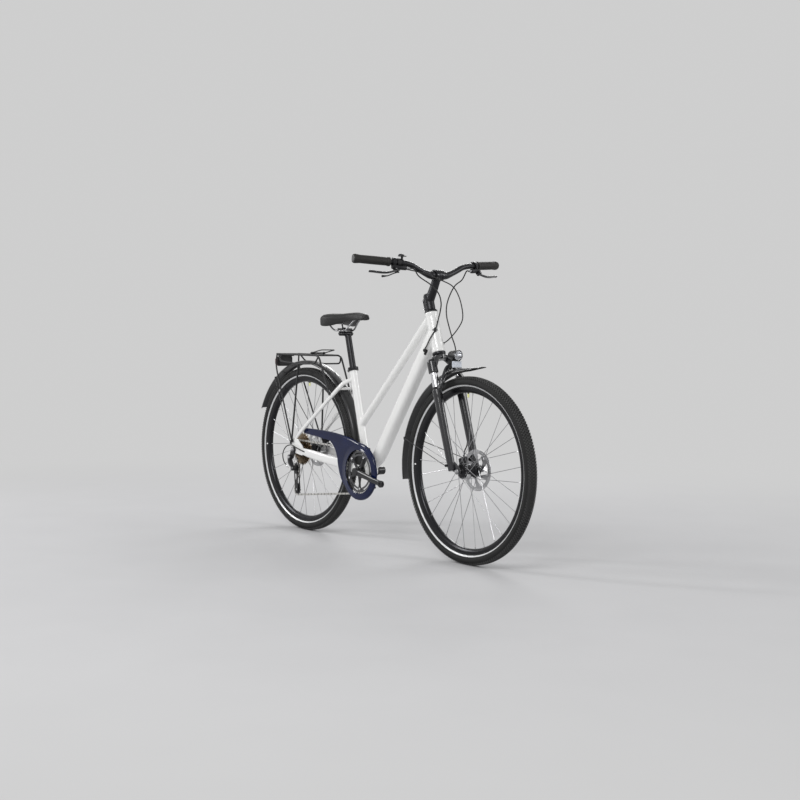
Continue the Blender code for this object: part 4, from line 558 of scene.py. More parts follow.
def by_rear_axle(outline, soft, near, far, bevel):
    """A rounded plate whose outline is drawn round the rear axle."""
    edge = softened([(REAR.x + x, REAR.z + z) for x, z in outline], soft)
    return slab(edge, near, far, bevel=bevel)


dropouts = [by_rear_axle(DROPOUT, 0.006, low, low + 0.006, 0.0014)
    for low in (-HUB_HALF - 0.006, HUB_HALF)]
put("frame_dropouts", together(*dropouts), "bike", WHITE)

# Tyres
# Black rubber tyres with rows of small blocks on the crown, ribbed sidewalls, and a silver
# reflecting band moulded into each side just outside the rim.
class Grower:
    """A Geometry Nodes tree with named inputs, and the plain mesh that it grows."""

    def __init__(self, name, inputs):
        self.tree = bpy.data.node_groups.new(name, "GeometryNodeTree")
        add = self.tree.interface.new_socket
        add("Geometry", in_out="INPUT", socket_type="NodeSocketGeometry")
        self.keys = {}
        for label, kind in inputs.items():
            self.keys[label] = add(label, in_out="INPUT", socket_type="NodeSocket" + kind).identifier
        add("Geometry", in_out="OUTPUT", socket_type="NodeSocketGeometry")
        self.start = self.tree.nodes.new("NodeGroupInput")
        self.finish = self.tree.nodes.new("NodeGroupOutput")

    def node(self, kind, settings=None, sockets=None):
        made = self.tree.nodes.new(kind)
        for name, value in (settings or {}).items():
            setattr(made, name, value)
        for key, value in (sockets or {}).items():
            if isinstance(value, bpy.types.NodeSocket):
                self.tree.links.new(value, made.inputs[key])
            else:
                made.inputs[key].default_value = value
        return made

    def end(self, geometry):
        """Makes copies real and gives them their material."""
        real = self.node("GeometryNodeRealizeInstances", {}, {0: geometry})
        dressed = self.node("GeometryNodeSetMaterial", {},
            {"Geometry": real.outputs[0], "Material": self.start.outputs["Material"]})
        self.tree.links.new(dressed.outputs[0], self.finish.inputs[0])

    def grow(self, data, values):
        holder = bpy.data.objects.new("growing", data)
        scene.collection.objects.link(holder)
        modifier = holder.modifiers.new("grow", "NODES")
        modifier.node_group = self.tree
        for label, value in values.items():
            modifier[self.keys[label]] = value
        return evaluated(holder)


def ring_grower():
    """Copies of the mesh spread evenly round the Y axis."""
    grower = Grower("copies_round_axle", {"Count": "Int", "Material": "Material"})
    start = grower.start.outputs
    spots = grower.node("GeometryNodePoints", {}, {"Count": start["Count"]})
    index = grower.node("GeometryNodeInputIndex")
    step = grower.node("ShaderNodeMath", {"operation": "DIVIDE"}, {0: tau, 1: start["Count"]})
    angle = grower.node("ShaderNodeMath", {"operation": "MULTIPLY"},
        {0: index.outputs[0], 1: step.outputs[0]})
    turn = grower.node("ShaderNodeCombineXYZ", {}, {"Y": angle.outputs[0]})
    copies = grower.node("GeometryNodeInstanceOnPoints", {},
        {"Points": spots.outputs[0], "Instance": start["Geometry"], "Rotation": turn.outputs[0]})
    grower.end(copies.outputs[0])
    return grower


ROUND = ring_grower()


def around(mesh, count, finish, centre=Vector()):
    return moved(ROUND.grow(mesh, {"Count": count, "Material": finish[0]}), centre)


def tyre_rubber(name, dark, dusty):
    """Dull black rubber with a fine grain, greyed by dust in patches."""
    return surface(name, "tyre_rubber", ([dark] * 3, [dusty] * 3), 14.0, (0.58, 90.0, 0.2),
        (700.0, 2.0, 0.0002, 0.6), {"Specular IOR Level": 0.3})


TYRE_RADIUS = 0.357
TYRE_HALF = 0.0235
CROWN = 0.3549
TREAD_PITCHES = 190
RUBBER = tyre_rubber("tyre_rubber", 0.009, 0.018)
# The tread rubber is painted much paler than the casing. It has the same dust patches as the casing, and
# a painted highlight over the tread blocks.
TREAD_DUST_AND_HIGHLIGHT = tyre_rubber("tread_rubber_dust_and_highlight", 0.034, 0.068)
BAND = surface("reflecting_band", "tyre_rubber", ((0.66, 0.67, 0.68), (0.8, 0.8, 0.81)), 160.0,
    (0.34, 300.0, 0.12), even={"Metallic": 0.35})
SIDEWALL = ((0.3116, 0.0112), (0.3145, 0.014), (0.3178, 0.0146), (0.32, 0.0156), (0.326, 0.0198),
    (0.332, 0.0226), (0.337, 0.0233), (0.342, 0.0222), (0.347, 0.0192), (0.3512, 0.0148),
    (0.3538, 0.008), (CROWN, 0.0))


def between(table, place):
    """The value at a place in a table of (place, value) rows, or nought outside it."""
    for (low, first), (high, last) in zip(table, table[1:]):
        if low <= place <= high:
            return first + (last - first) * (place - low) / (high - low)
    return 0.0


def wall_width(radius):
    """Half the tyre's width at a radius below its crown."""
    return between(SIDEWALL, radius)


def casing():
    outer = list(SIDEWALL) + [(r, -y) for r, y in SIDEWALL[-2::-1]]
    inner = mm((314, -9), (330, -20), (344, -19), (351.5, 0), (344, 19), (330, 20), (314, 9))
    ribs = []
    for side in (-1, 1):
        for radius in (0.3222, 0.329, 0.3405):
            foot = side * (wall_width(radius) - 0.001)
            ribs.append(turned([(radius - 0.0006, foot),
                (radius - 0.0004, side * (wall_width(radius) + 0.0003)),
                (radius + 0.0004, side * (wall_width(radius + 0.0004) + 0.0003)),
                (radius + 0.0006, foot)], steps=144))
    return together(turned(softened(outer, 0.002, 2, False) + inner, steps=144), *ribs)


def towards(angle, radius, y=0.0):
    """A point round the wheel from its axle: 0 is ahead, a quarter turn is up."""
    return Vector((radius * cos(angle), y, radius * sin(angle)))


def tread_blocks():
    """One pitch of tread: blocks on the crown, the flanks and both shoulders."""
    pitch = tau * TYRE_RADIUS / TREAD_PITCHES
    blocks = []
    rows = ((0.0032, 0.0026, 0.26, 0.1, 0.5), (0.0092, 0.0025, 0.24, 0.55, -0.45),
        (0.0148, 0.0024, 0.3, 0.15, 0.35), (0.0192, 0.0016, 0.22, 0.6, 0.0))
    for across, half_width, share, shift, skew in rows:
        for side in (-1, 1):
            low = CROWN - 0.0012 - (across / TYRE_HALF) ** 3 * 0.0085
            high = min(TYRE_RADIUS, low + 0.0033)
            tilt = (across / TYRE_HALF) ** 2 * 0.9
            bm = bmesh.new()
            verts = []
            for radius, draft in ((low, 1.0), (high, 0.84)):
                for u, v in ((-1, -1), (1, -1), (1, 1), (-1, 1)):
                    y = across + v * half_width * draft
                    along = pitch * (shift + u * share * draft) + skew * v * half_width
                    drop = (y - across) * tilt
                    verts.append(bm.verts.new(towards(along / TYRE_RADIUS, radius - drop, side * y)))
            for face in ((3, 2, 1, 0), (4, 5, 6, 7), (0, 1, 5, 4), (1, 2, 6, 5), (2, 3, 7, 6),
                    (3, 0, 4, 7)):
                bm.faces.new([verts[k] for k in face])
            blocks.append(closed(bm, 1e-8))
    return together(*blocks)


def band_ring(side):
    """The reflecting band: a thin ring that follows the sidewall."""
    radii = (0.3196, 0.3208, 0.3222, 0.3236, 0.3248)
    outer = [(r, side * (wall_width(r) + 0.0005)) for r in radii]
    inner = [(r, side * (wall_width(r) - 0.0008)) for r in reversed(radii)]
    return turned(outer + inner, steps=144)


for end, centre in WHEELS:
    body = end + "_wheel"
    put(end + "_tyre_casing", moved(casing(), centre), body, RUBBER, end + "_tyre", 50.0)
    put(end + "_tyre_blocks", around(tread_blocks(), TREAD_PITCHES, TREAD_DUST_AND_HIGHLIGHT, centre), body, TREAD_DUST_AND_HIGHLIGHT, None,
        20.0)
    put(end + "_tyre_bands", moved(together(band_ring(-1), band_ring(1)), centre), body, BAND)


# Rims
# Black anodised box rims, extruded, rolled and pinned. A plain pale bar marks the joint on each
# side, and the valve comes through with a yellow cap.
def anodised(name, colour, rough, flecks=500.0, coat=0.0):
    """Dyed alloy under a thin clear layer."""
    return surface(name, "black_anodised", (colour, [c * 1.35 for c in colour]), 30.0,
        (rough, 140.0, 0.12), (flecks, 2.0, 0.00004, 0.7), {"Metallic": 0.75, "Coat Weight": coat})


def moulded(name, slot, colour, rough, grain=900.0, depth=0.00008, coat=0.0):
    """Moulded plastic or paint with a fine grain."""
    return surface(name, slot, (colour, [c * 1.3 + 0.002 for c in colour]), 25.0, (rough, 70.0, 0.1),
        (grain, 2.0, depth, 0.6), {"Coat Weight": coat, "Specular IOR Level": 0.35})


def as_slot(finish, slot):
    """The same finish on a piece whose slot has another name."""
    return finish[0], slot


RIM_BLACK = anodised("rim_black", (0.018, 0.018, 0.02), 0.18)
ANODISED = anodised("anodised_black", (0.022, 0.022, 0.024), 0.28)
PALE_BAR = moulded("pale_bar", "silver", (0.72, 0.72, 0.72), 0.45)
CAP_YELLOW = moulded("valve_cap", "black_plastic", (0.7, 0.72, 0.3), 0.4)
RIM_PROFILE = mm((316.5, 13.8), (317.2, 12.8), (316.5, 11.7), (312.2, 11.7), (311, 9), (309.5, -9),
    (312.2, -11.7), (316.5, -11.7), (317.2, -12.8), (316.5, -13.8), (305, -13.2), (298.5, -10.4),
    (295, -6), (294.5, 0), (295, 6), (298.5, 10.4), (305, 13.2))
VALVE_ANGLE = {"front": radians(92.3), "rear": radians(88.0)}


def rim_bar(side):
    """The pale bar on the side of the rim, behind the axle."""
    section = mm((306.2, 12.8), (315, 13.5), (315, 14.1), (306.2, 13.5))
    return skin([[towards(pi + (k - 4) * 0.0021, r, side * y) for r, y in section] for k in range(9)])


for end, centre in WHEELS:
    body = end + "_wheel"
    hoop = turned(softened(RIM_PROFILE, 0.0012, 2), steps=144)
    put(end + "_rim_hoop", moved(hoop, centre), body, RIM_BLACK, end + "_rim", 50.0)
    put(end + "_rim_bars", moved(together(rim_bar(-1), rim_bar(1)), centre), body,
        as_slot(PALE_BAR, "black_anodised"))
    out = towards(VALVE_ANGLE[end], 1.0)
    stem = turned(mm((0, 278), (2.6, 278), (2.6, 292.2), (4.6, 292.3), (4.6, 295.8), (0, 295.8)),
        along=out, steps=20)
    put(end + "_valve", moved(stem, centre), body, ANODISED)
    cap = turned(mm((0, 276.5), (3.4, 276.5), (4, 290.5), (0, 290.5)), along=out, steps=16, soft=0.0008)
    put(end + "_valve_cap", moved(cap, centre), body, CAP_YELLOW)


# Hubs and spokes
# Each hub is a turned alloy shell with two flanges. Thirty-two steel spokes hook into the
# flanges, cross three others, and screw into nipples seated in the rim.
def bright_metal(name, slot, colour, rough, scratches=220.0, depth=0.00003):
    """Bare or plated metal with fine scratches."""
    return surface(name, slot, ([c * 0.86 for c in colour], colour), 40.0, (rough, scratches, 0.14),
        (scratches * 2, 2.0, depth, 0.6), {"Metallic": 1.0})


SPOKE_STEEL = bright_metal("spoke_steel", "silver", (0.4, 0.4, 0.41), 0.24)
HUB_ALLOY = bright_metal("hub_alloy", "steel", (0.6, 0.6, 0.61), 0.22)
STEEL = bright_metal("brushed_steel", "steel", (0.46, 0.46, 0.47), 0.28)
CROSSING = radians(67.5)
WHEEL_TURN = {"front": radians(-3.3), "rear": 0.0}
SPOKE_HOLES = 0.026
SPOKE_RADIUS = 0.0011
FLANGES = {"front": (0.0265, -0.034), "rear": (0.034, -0.0205)}
HUB_PROFILE = {"front": mm((5.1, -49.7), (9.5, -49.7), (10, -40.5), (13.5, -38.5), (29, -36.2),
    (29, -31.8), (17.5, -30), (14.5, -24), (14, -3), (14.5, 18), (17.5, 22.8), (29, 24.3), (29, 28.7),
    (19, 30.5), (19, 37.5), (10.5, 37.8), (9.5, 49.7), (5.1, 49.7)), "rear": mm((5.1, -67.2),
    (8.5, -67.2), (16.5, -65.5), (16.5, -26.2), (29, -22.7), (29, -18.3), (20, -16.5), (17, -11),
    (16.5, 6), (17, 24), (20, 30), (29, 31.8), (29, 36.2), (19, 38), (19, 51.5), (10.5, 51.8),
    (9.5, 67.2), (5.1, 67.2))}


def spoke(rim_angle, flange, trailing):
    """One spoke with its hooked head inside or outside the flange, and its nipple."""
    hub_angle = rim_angle + trailing * CROSSING
    head = towards(hub_angle, SPOKE_HOLES, flange + trailing * 0.0034)
    bend = towards(hub_angle, SPOKE_HOLES + 0.0002, flange - trailing * 0.002)
    rim = towards(rim_angle, 0.2962, copysign(0.0022, flange))
    run = bend.lerp(rim, 0.012)
    line = cord_tube([head, bend, run], SPOKE_RADIUS, 6, 3)
    straight = cord_tube([run, rim], SPOKE_RADIUS, 6, 1)
    button = turned(mm((0, -0.8), (1.7, -0.7), (1.9, 0.2), (0, 0.9)), head, steps=10)
    nipple = turned(mm((0, -12.5), (1.6, -12.2), (2, -4), (2.1, 0), (0, 0)), rim, rim - bend, 8)
    return together(line, straight, button), nipple


for end, centre in WHEELS:
    body = end + "_wheel"
    shell = turned(softened(HUB_PROFILE[end], 0.0012, 2), centre, steps=56)
    put(end + "_hub_shell", shell, body, ANODISED, end + "_hub", 50.0)
    group = [spoke(tau * i / 32 + WHEEL_TURN[end], FLANGES[end][(i + 1) % 2], 1 if (i // 2) % 2 else -1)
        for i in range(4)]
    spokes, nipples = (together(*pieces) for pieces in zip(*group))
    put(end + "_spokes", around(spokes, 8, SPOKE_STEEL, centre), body, SPOKE_STEEL)
    put(end + "_nipples", around(nipples, 8, HUB_ALLOY, centre), body, as_slot(HUB_ALLOY, "silver"))


# Brake rotors
# A stamped stainless disc on the left of each hub: a drilled track, six slanted arms and a
# centre held by six button-headed bolts.
ROTOR_OUTER = 0.08
ROTOR_PLACE = {"front": 0.0378, "rear": 0.0518}
ROTOR_THICKNESS = 0.0018


def arc(radius, first, last, steps, x=0.0, z=0.0):
    """Points on an arc in the XZ plane, from one angle to another."""
    angles = [first + (last - first) * i / steps for i in range(steps + 1)]
    return [(x + radius * cos(a), z + radius * sin(a)) for a in angles]


def rotor():
    """A disc with a scalloped edge, drilled holes and slanted windows between its arms."""
    edge = []
    for i in range(144):
        angle = tau * i / 144
        radius = ROTOR_OUTER - 0.0005 + 0.0005 * cos(24 * angle)
        edge.append((radius * cos(angle), radius * sin(angle)))
    holes = [circle(0, 0, 0.0105, 32)]
    for i in range(6):
        base = tau * i / 6
        points = []
        for radius, first, last in ((0.064, 48.0, 88.0), (0.0245, 52.0, 12.0)):
            points += arc(radius, base + radians(first), base + radians(last), 8)
        holes.append(softened(points, 0.003, 2))
    for i in range(36):
        for radius, shift, size in ((0.0765, 0.0, 0.0016), (0.0732, 0.5, 0.0019),
                (0.0695, 0.0, 0.0016)):
            turn = tau * (i + shift) / 36
            holes.append(circle(radius * cos(turn), radius * sin(turn), size, 10))
    return slab(edge, 0.0, ROTOR_THICKNESS, holes)


def bolt_head(radius=0.0042, height=0.003, socket=0.0022):
    """A button-headed bolt with a socket, standing along Y from the origin."""
    return turned([(0, 0.0), (radius, 0.0), (radius, height * 0.5), (radius * 0.8, height),
        (socket, height), (socket, height * 0.45), (0, height * 0.45)], steps=18)


for end, centre in WHEELS:
    low = ROTOR_PLACE[end]
    put(end + "_rotor_disc", moved(rotor(), centre + ACROSS * low), end + "_wheel", STEEL,
        end + "_rotor")
    bolt = moved(bolt_head(), (0.0165, low + ROTOR_THICKNESS, 0))
    put(end + "_rotor_bolts", around(bolt, 6, STEEL, centre), end + "_wheel", STEEL)

# Headset
# Two black alloy cups pressed into the ends of the head tube, with softened lips.
def steered(*shapes):
    """Shapes drawn in the steering frame (X ahead, Y left, Z up the head tube), put in place."""
    return placed(together(*shapes), STEER)


LOWER_CUP = mm((15, -9.7), (25.2, -9.7), (26.2, -8.5), (26.2, -0.3), (19.9, -0.3), (19.9, 10), (15, 10))
UPPER_CUP = mm((15, 152), (19.9, 152), (19.9, 162.3), (26.2, 162.3), (26.2, 165), (24, 170.5),
    (15, 170.5))
for end, cup in (("lower", LOWER_CUP), ("upper", UPPER_CUP)):
    put("headset_" + end, steered(upright_turned(cup, soft=0.0008)), "bike", ANODISED, end + "_cup")


# Fork crown
# A forged black crown grips two chromed stanchions. The steel steerer runs up from it through
# the headset, a plain cap closes the left stanchion and the lockout knob tops the right one.
LEG_X = 0.018
LEG_Y = 0.06
STANCHION = 0.014
CROWN_STATIONS = ((0.004, 0.012, -0.0215, 0.036, 0.02), (0.008, 0.03, -0.028, 0.036, 0.024),
    (0.014, 0.046, -0.052, 0.034, 0.02), (LEG_X, LEG_Y, -0.068, 0.032, 0.024))
GLOSS_BLACK = moulded("black_paint", "black_paint", (0.014, 0.014, 0.016), 0.14, 500.0, 0.00002, 0.7)
CHROME = bright_metal("chrome", "silver", (0.8, 0.8, 0.82), 0.06, 300.0, 0.00001)
PLASTIC = moulded("black_plastic", "black_plastic", (0.015, 0.015, 0.016), 0.38)


def crown():
    stations = [(x, -y, z, w, d) for x, y, z, w, d in reversed(CROWN_STATIONS)]
    stations += CROWN_STATIONS
    shapes = [stationed(stations, 28, 2.6, AHEAD, 6), upright_turned(mm((0, -32.3), (23.5, -30.3),
        (25.2, -10.3), (0, -10.3)))]
    for side in (-1, 1):
        shapes.append(upright_turned(mm((0, -88), (18, -88), (19, -86.5), (19, -42.5), (0, -42.5)),
            LEG_X, side * LEG_Y))
    return fused(together(*shapes), 0.0016, 4)


def rods(low, high, radius, places, steps=40):
    return together(*[upright_turned([(0, low), (radius, low), (radius, high), (0, high)], x, y, steps)
        for x, y in places])


LEGS = ((LEG_X, -LEG_Y), (LEG_X, LEG_Y))
put("fork_crown_forging", steered(crown()), "steerer", as_slot(GLOSS_BLACK, "black_anodised"),
    "fork_crown", 60.0)
put("fork_stanchions", steered(rods(-0.28, -0.08, STANCHION, LEGS)), "steerer", CHROME)
put("steerer_tube", steered(rods(-0.03, 0.2315, 0.0143, ((0.0, 0.0),))), "steerer", STEEL)
left_cap = upright_turned(mm((0, -43), (13, -43), (12.8, -39), (11.5, -36.5), (5, -36.5), (4.6, -38),
    (0, -38)), LEG_X, LEG_Y)
put("fork_crown_cap", steered(left_cap), "steerer", ANODISED)

STAND_UP = Matrix.Rotation(pi / 2, 4, "X")


def lockout_knob():
    """A ribbed knob with a finger tab, drawn standing on the origin."""
    knob = upright_turned(mm((0, 0), (10.8, 0), (11.2, 1), (10.8, 5), (9.8, 7.8), (4, 8.4), (0, 8.4)),
        steps=40)
    rib = brick(*mm((9.8, 0.8, -0.7), (11.5, 5.6, 0.7)), 0.0003, 1)
    ribs = placed(around(rib, 14, PLASTIC), STAND_UP)
    tab = brick(*mm((4, -2.2, 2), (15.5, 2.2, 9.8)), 0.001)
    return moved(together(knob, ribs, tab), (LEG_X, -LEG_Y, -0.0417))


put("lockout_dial", steered(lockout_knob()), "lockout", PLASTIC, "lockout_knob")


# Fork lowers
# Cast legs joined by an arch ahead of the tyre, in deep gloss black, with rubber seals on top,
# dropout plates, eyelets for the mudguard stays and two lugs with a pin for the headlamp.
ARCH = mm((30, 60, -156), (49, 57, -144), (53.5, 47, -116), (53, 20, -78))
LEG_PROFILE = mm((0, -471.5), (12.5, -471.5), (14.8, -468), (15.3, -440), (16.6, -300), (17.7, -185),
    (18.6, -176), (18.6, -156), (17.8, -153), (14.3, -153), (14.3, -345), (0, -345))
FORK_END = mm((6, -440), (30, -436), (50, -462), (60, -478), (56, -490), (34, -490), (25, -478),
    (6, -466))
AXLE_SPOT = STEER.inverted() @ FRONT
LAMP_PIN = STEER.inverted() @ pivot("headlamp_tilt")
RUBBER_SEAL = moulded("seal_rubber", "black_rubber", (0.018, 0.018, 0.018), 0.62, 500.0)


def lower_legs():
    arch = [(x, -y, z) for x, y, z in ARCH] + [(0.0525, 0.0, -0.073)] + list(ARCH[::-1])
    shapes = [tube(arch, [(0.012, 0.017)] * 9, 20, AHEAD, 5, 2.6)]
    shapes += [upright_turned(LEG_PROFILE, x, y) for x, y in LEGS]
    return fused(together(*shapes), 0.0015, 2)


def pin(centre, low, high, radius, soft=0.0005, steps=24):
    """A round pin or knuckle along Y."""
    return turned([(0, low), (radius, low), (radius, high), (0, high)], centre, ACROSS, steps, soft)


def fork_fittings():
    plate = slab(softened(FORK_END, 0.004), 0.0503, 0.0575, bevel=0.0012)
    eye = pin((0.008, 0, -0.448), 0.064, 0.0755, 0.0052)
    lug = brick(*mm((50, 6.4, -77), (74.5, 9.4, -64)), 0.001)
    left = together(plate, eye, lug)
    return together(left, flipped(left), pin(LAMP_PIN, -0.011, 0.011, 0.0022),
        pin(LAMP_PIN, 0.0094, 0.0125, 0.004), pin(LAMP_PIN, -0.0125, -0.0094, 0.004))


put("fork_legs", steered(lower_legs()), "lowers", GLOSS_BLACK, "fork_lowers", 60.0)
put("fork_fittings", steered(fork_fittings()), "lowers", GLOSS_BLACK)
seals = [upright_turned(mm((14.4, -153.2), (17.8, -153.2), (18.4, -150), (16.6, -147), (16.4, -145.2),
    (14.4, -144)), x, y) for x, y in LEGS]
put("fork_seals", steered(*seals), "lowers", RUBBER_SEAL)


# Brake calipers
# Two-piece black calipers astride the rotors: round piston caps, a bridge held by two bolts, a
# bracket to the leg or stay, and the banjo where the hose screws in.
def caliper(x, y, z, slot, bridge):
    """A caliper from its lowest and highest x, y and z, its rotor slot and its bridge."""
    middle = Vector(((x[0] + x[1]) / 2, 0, (z[0] + z[1]) / 2))
    inner = brick((x[0], y[0], z[0]), (x[1], slot[0], z[1]), 0.0028, 3)
    outer = brick((x[0], slot[1], z[0]), (x[1], y[1], z[1]), 0.0028, 3)
    over = brick((bridge[0], y[0] + 0.001, z[0] + 0.001), (bridge[1], y[1] - 0.001, z[1] - 0.001),
        0.002)
    cap = mm((0, -1), (11.8, -1), (11.8, 1.4), (10, 2.2), (5.2, 2.2), (4.8, 0.8), (0, 0.8))
    return together(inner, outer, over, turned(cap, middle + ACROSS * y[1], steps=32))


def copies(shape, spots, turn=Matrix.Identity(4), size=1.0):
    return together(*[placed(shape.copy(), Matrix.Translation(spot) @ turn @ Matrix.Scale(size, 4))
        for spot in spots])


def bolts_on(spots, turn=Matrix.Identity(4), size=1.0):
    return copies(bolt_head(), spots, turn, size)


def banjo(spot, along):
    return turned(mm((0, -2), (5.8, -2), (5.8, 3.5), (4.2, 5), (4.2, 10), (3.4, 11), (0, 11)), spot,
        along, 20)


FRONT_CALIPER = caliper(*mm((-40, -1), (28.5, 52), (-465, -415), (37, 40.2), (-40, -35.2)))
front_bracket = brick(*mm((-12, 46, -460), (1.8, 66, -420)), 0.0015)
put("front_caliper_body", steered(FRONT_CALIPER, front_bracket, banjo((-0.02, 0.045, -0.4155), UP)),
    "lowers", ANODISED, "front_caliper")
put("front_caliper_bolts", steered(bolts_on(mm((-35, 51.8, -460), (-35, 51.8, -420), (-5, 65.8, -452),
    (-5, 65.8, -428)))), "lowers", STEEL)
REAR_CALIPER_PLACE = (Matrix.Translation(REAR + Vector((0.058, 0, 0.045)))
    @ Matrix.Rotation(radians(-37.8), 4, "Y"))
REAR_CALIPER = caliper(*mm((-17, 22), (43.5, 62.5), (-20, 20), (51, 54.4), (10, 22)))
rear_foot = brick(*mm((-495, 56, 369), (-465, 67.1, 386)), 0.0015)
rear_union = banjo((0.021, 0.053, 0.0), AHEAD)
put("rear_caliper_body", together(placed(together(REAR_CALIPER, rear_union), REAR_CALIPER_PLACE),
    rear_foot), "bike", ANODISED, "rear_caliper")
rear_bolts = bolts_on(mm((16, 62.3, -15), (16, 62.3, 15)))
put("rear_caliper_bolts", together(placed(rear_bolts, REAR_CALIPER_PLACE),
    bolts_on(mm((-488, 66.9, 377.5), (-472, 66.9, 377.5)))), "bike", STEEL)


# Axles and quick releases
# Steel skewers through both hubs: an acorn nut with a knurled rim on the right, and a cam housing
# with a polished lever on the left.
def acorn(centre, near, far):
    """A quick-release nut along Y, with its rounded end towards far."""
    step = copysign(1.0, far - near)
    length = abs(far - near)
    profile = [(0, 0), (0.0085, 0), (0.0085, length * 0.35), (0.007, length * 0.45),
        (0.0064, length * 0.8), (0.004, length), (0, length)]
    nut = turned([(r, near + step * h) for r, h in profile], Vector(centre), steps=32)
    rib = brick((0.0082, 0.0002, -0.0005), (0.0088, length * 0.33, 0.0005), 0.0)
    ribs = around(rib, 22, STEEL)
    if step < 0:
        ribs = flipped(ribs)
    return together(nut, moved(ribs, Vector(centre) + ACROSS * near))


def release_lever(centre):
    centre = Vector(centre)
    barrel = turned(mm((0, -7), (6.3, -7), (6.3, 7), (0, 7)), centre, AHEAD, 28, 0.0008)
    blade = tube([centre + Vector(p) for p in mm((0, 0, 0), (0, 1.4, 14), (0, 2.2, 30), (0, 0.4, 50))],
        mm((6, 11), (4.4, 10.5), (4, 11), (4, 10)), 20, squareness=2.6, dome=0.003)
    return together(barrel, blade)


rod_front = pin(AXLE_SPOT, -0.064, 0.064, 0.0045)
cam_front = pin(AXLE_SPOT, 0.0578, 0.07, 0.0085, 0.001, 32)
put("front_skewer", steered(rod_front, cam_front, acorn(AXLE_SPOT, -0.0578, -0.07)), "lowers", STEEL,
    "front_axle")
put("front_release_lever", steered(release_lever(AXLE_SPOT + Vector((0, 0.0768, 0)))), "front_release",
    CHROME, "front_axle_lever")
rod_rear = pin(REAR, -0.086, 0.08, 0.0045)
cam_rear = pin(REAR, 0.0738, 0.0838, 0.0085, 0.001, 32)
put("rear_skewer", together(rod_rear, cam_rear, acorn(REAR, -0.0781, -0.088)), "bike", STEEL,
    "rear_axle")
put("rear_release_lever", release_lever(REAR + Vector((0, 0.0906, 0))), "rear_release", CHROME,
    "rear_axle_lever")


# Headlamp
# A round black lamp with a deep silvered bowl behind a clear lens, on a hinged neck. A square
# prismatic reflector is clipped to the plate below it.
LENS = Vector((0.471, 0.0, 0.791))


def prismatic(name, slot, tones, facets, least, depth, strength=1.0):
    """Plastic over small facets under a clear coat; each facet is painted pale in its middle and darker
    at its rim, a painted glint and shade.
    """
    made, wire, shader = new_material(name)
    cells = wire.cells(facets)
    # Painted glints and shade on the facets: the first tone at each facet's middle, the second towards
    # its rim.
    link(cells.blended(*tones), shader, "Base Color")
    link(least + cells * 0.15, shader, "Roughness")
    link(cells.bumped(depth, strength), shader, "Normal")
    shader.inputs["Coat Weight"].default_value = 0.8
    return made, slot


LENS_CLEAR = surface("clear_lens", "clear_lens", ((0.92, 0.94, 0.96), (0.98, 0.99, 1.0)), 50.0,
    (0.02, 80.0, 0.05), even={"Transmission Weight": 0.94, "IOR": 1.46})
PRISM_WHITE = prismatic("prism_painted_glints", "clear_lens", ((0.9, 0.93, 0.98), (0.52, 0.58, 0.68)), 420.0,
    0.12, 0.0006)
SATIN_BLACK = moulded("satin_black", "black_plastic", (0.016, 0.016, 0.017), 0.26, 700.0, 0.00004)
shell = turned(mm((0, -52), (8, -52), (12, -49.5), (15, -45.5), (17.6, -35), (19, -24), (20.3, -10),
    (20.8, -3.5), (20.8, 0.8), (20.1, 1.2), (20.1, -6), (16.5, -19), (8, -31), (0, -32.5)), LENS, AHEAD,
    56)
tilt = pivot("headlamp_tilt")
neck = tube([tilt + Vector(p) for p in mm((2, 0, 0), (11, 0, 1), (18, 0, 6))], [(0.011, 0.0085)] * 3,
    20, squareness=3.0)
plate = brick(*mm((452, -20.5, 745), (460, 20.5, 779)), 0.0018, 3)
knuckle = pin(tilt, -0.006, 0.006, 0.0055)
put("headlamp_shell", together(shell, neck, plate, knuckle), "headlamp", SATIN_BLACK, "headlamp_body")
bowl = turned(mm((19.9, -5.8), (16.3, -18.8), (7.9, -30.6), (3, -31.8), (0, -31.8), (0, -31),
    (3.4, -30.8), (7.2, -29.8), (15.6, -18), (19.2, -5.5)), LENS, AHEAD, 56, loop=False)
put("headlamp_bowl", bowl, "headlamp", CHROME)
emitter = turned(mm((0, -31.2), (2.6, -31.2), (2.6, -27), (1.6, -25), (0, -24.6)), LENS, AHEAD, 20)
put("headlamp_emitter", emitter, "headlamp", PALE_BAR)
lens = turned(mm((0, -5.2), (19.2, -5.2), (19.8, -4.2), (20, -0.8), (18.6, 0.4), (12, 1), (0, 1.4)),
    LENS, AHEAD, 56)
put("headlamp_glass", lens, "headlamp", LENS_CLEAR, "headlamp_lens")
put("headlamp_reflector", brick(*mm((460.3, -22.5, 744.5), (464.5, 22.5, 769)), 0.001), "headlamp",
    PRISM_WHITE)


# Stem
# A forged black stem on the steerer: a clamp with two pinch bolts behind, a rising arm, and a
# faceplate that four bolts pull over the bar. A domed cap closes the top.
CLAMP = Vector((0.0788, 0.0, 0.2877))
CLAMP_HALF = 0.021
FACE = radians(45.0)


def half_barrel(*ends):
    """Half of the ring round the bar, from one angle to another in degrees."""
    first, last = map(radians, ends)
    outline = arc(0.0215, first, last, 20, CLAMP.x, CLAMP.z)
    outline += arc(0.0162, last, first, 20, CLAMP.x, CLAMP.z)
    return slab(outline, -CLAMP_HALF, CLAMP_HALF, bevel=0.0008)


def stem_body():
    base = upright_turned(mm((0, 170.8), (18.6, 170.8), (19.5, 172), (19.5, 230), (18, 232.5),
        (0, 232.5)))
    arm = tube(mm((4, 0, 212), (40, 0, 246), (66, 0, 274)), mm((34, 36), (31, 33), (32, 30)), 28,
        squareness=2.6)
    ears = brick(*mm((-29, -11, 176), (-12, 11, 224)), 0.003)
    return fused(together(base, arm, ears, half_barrel(136.5, 313.5)), 0.0013, 3)


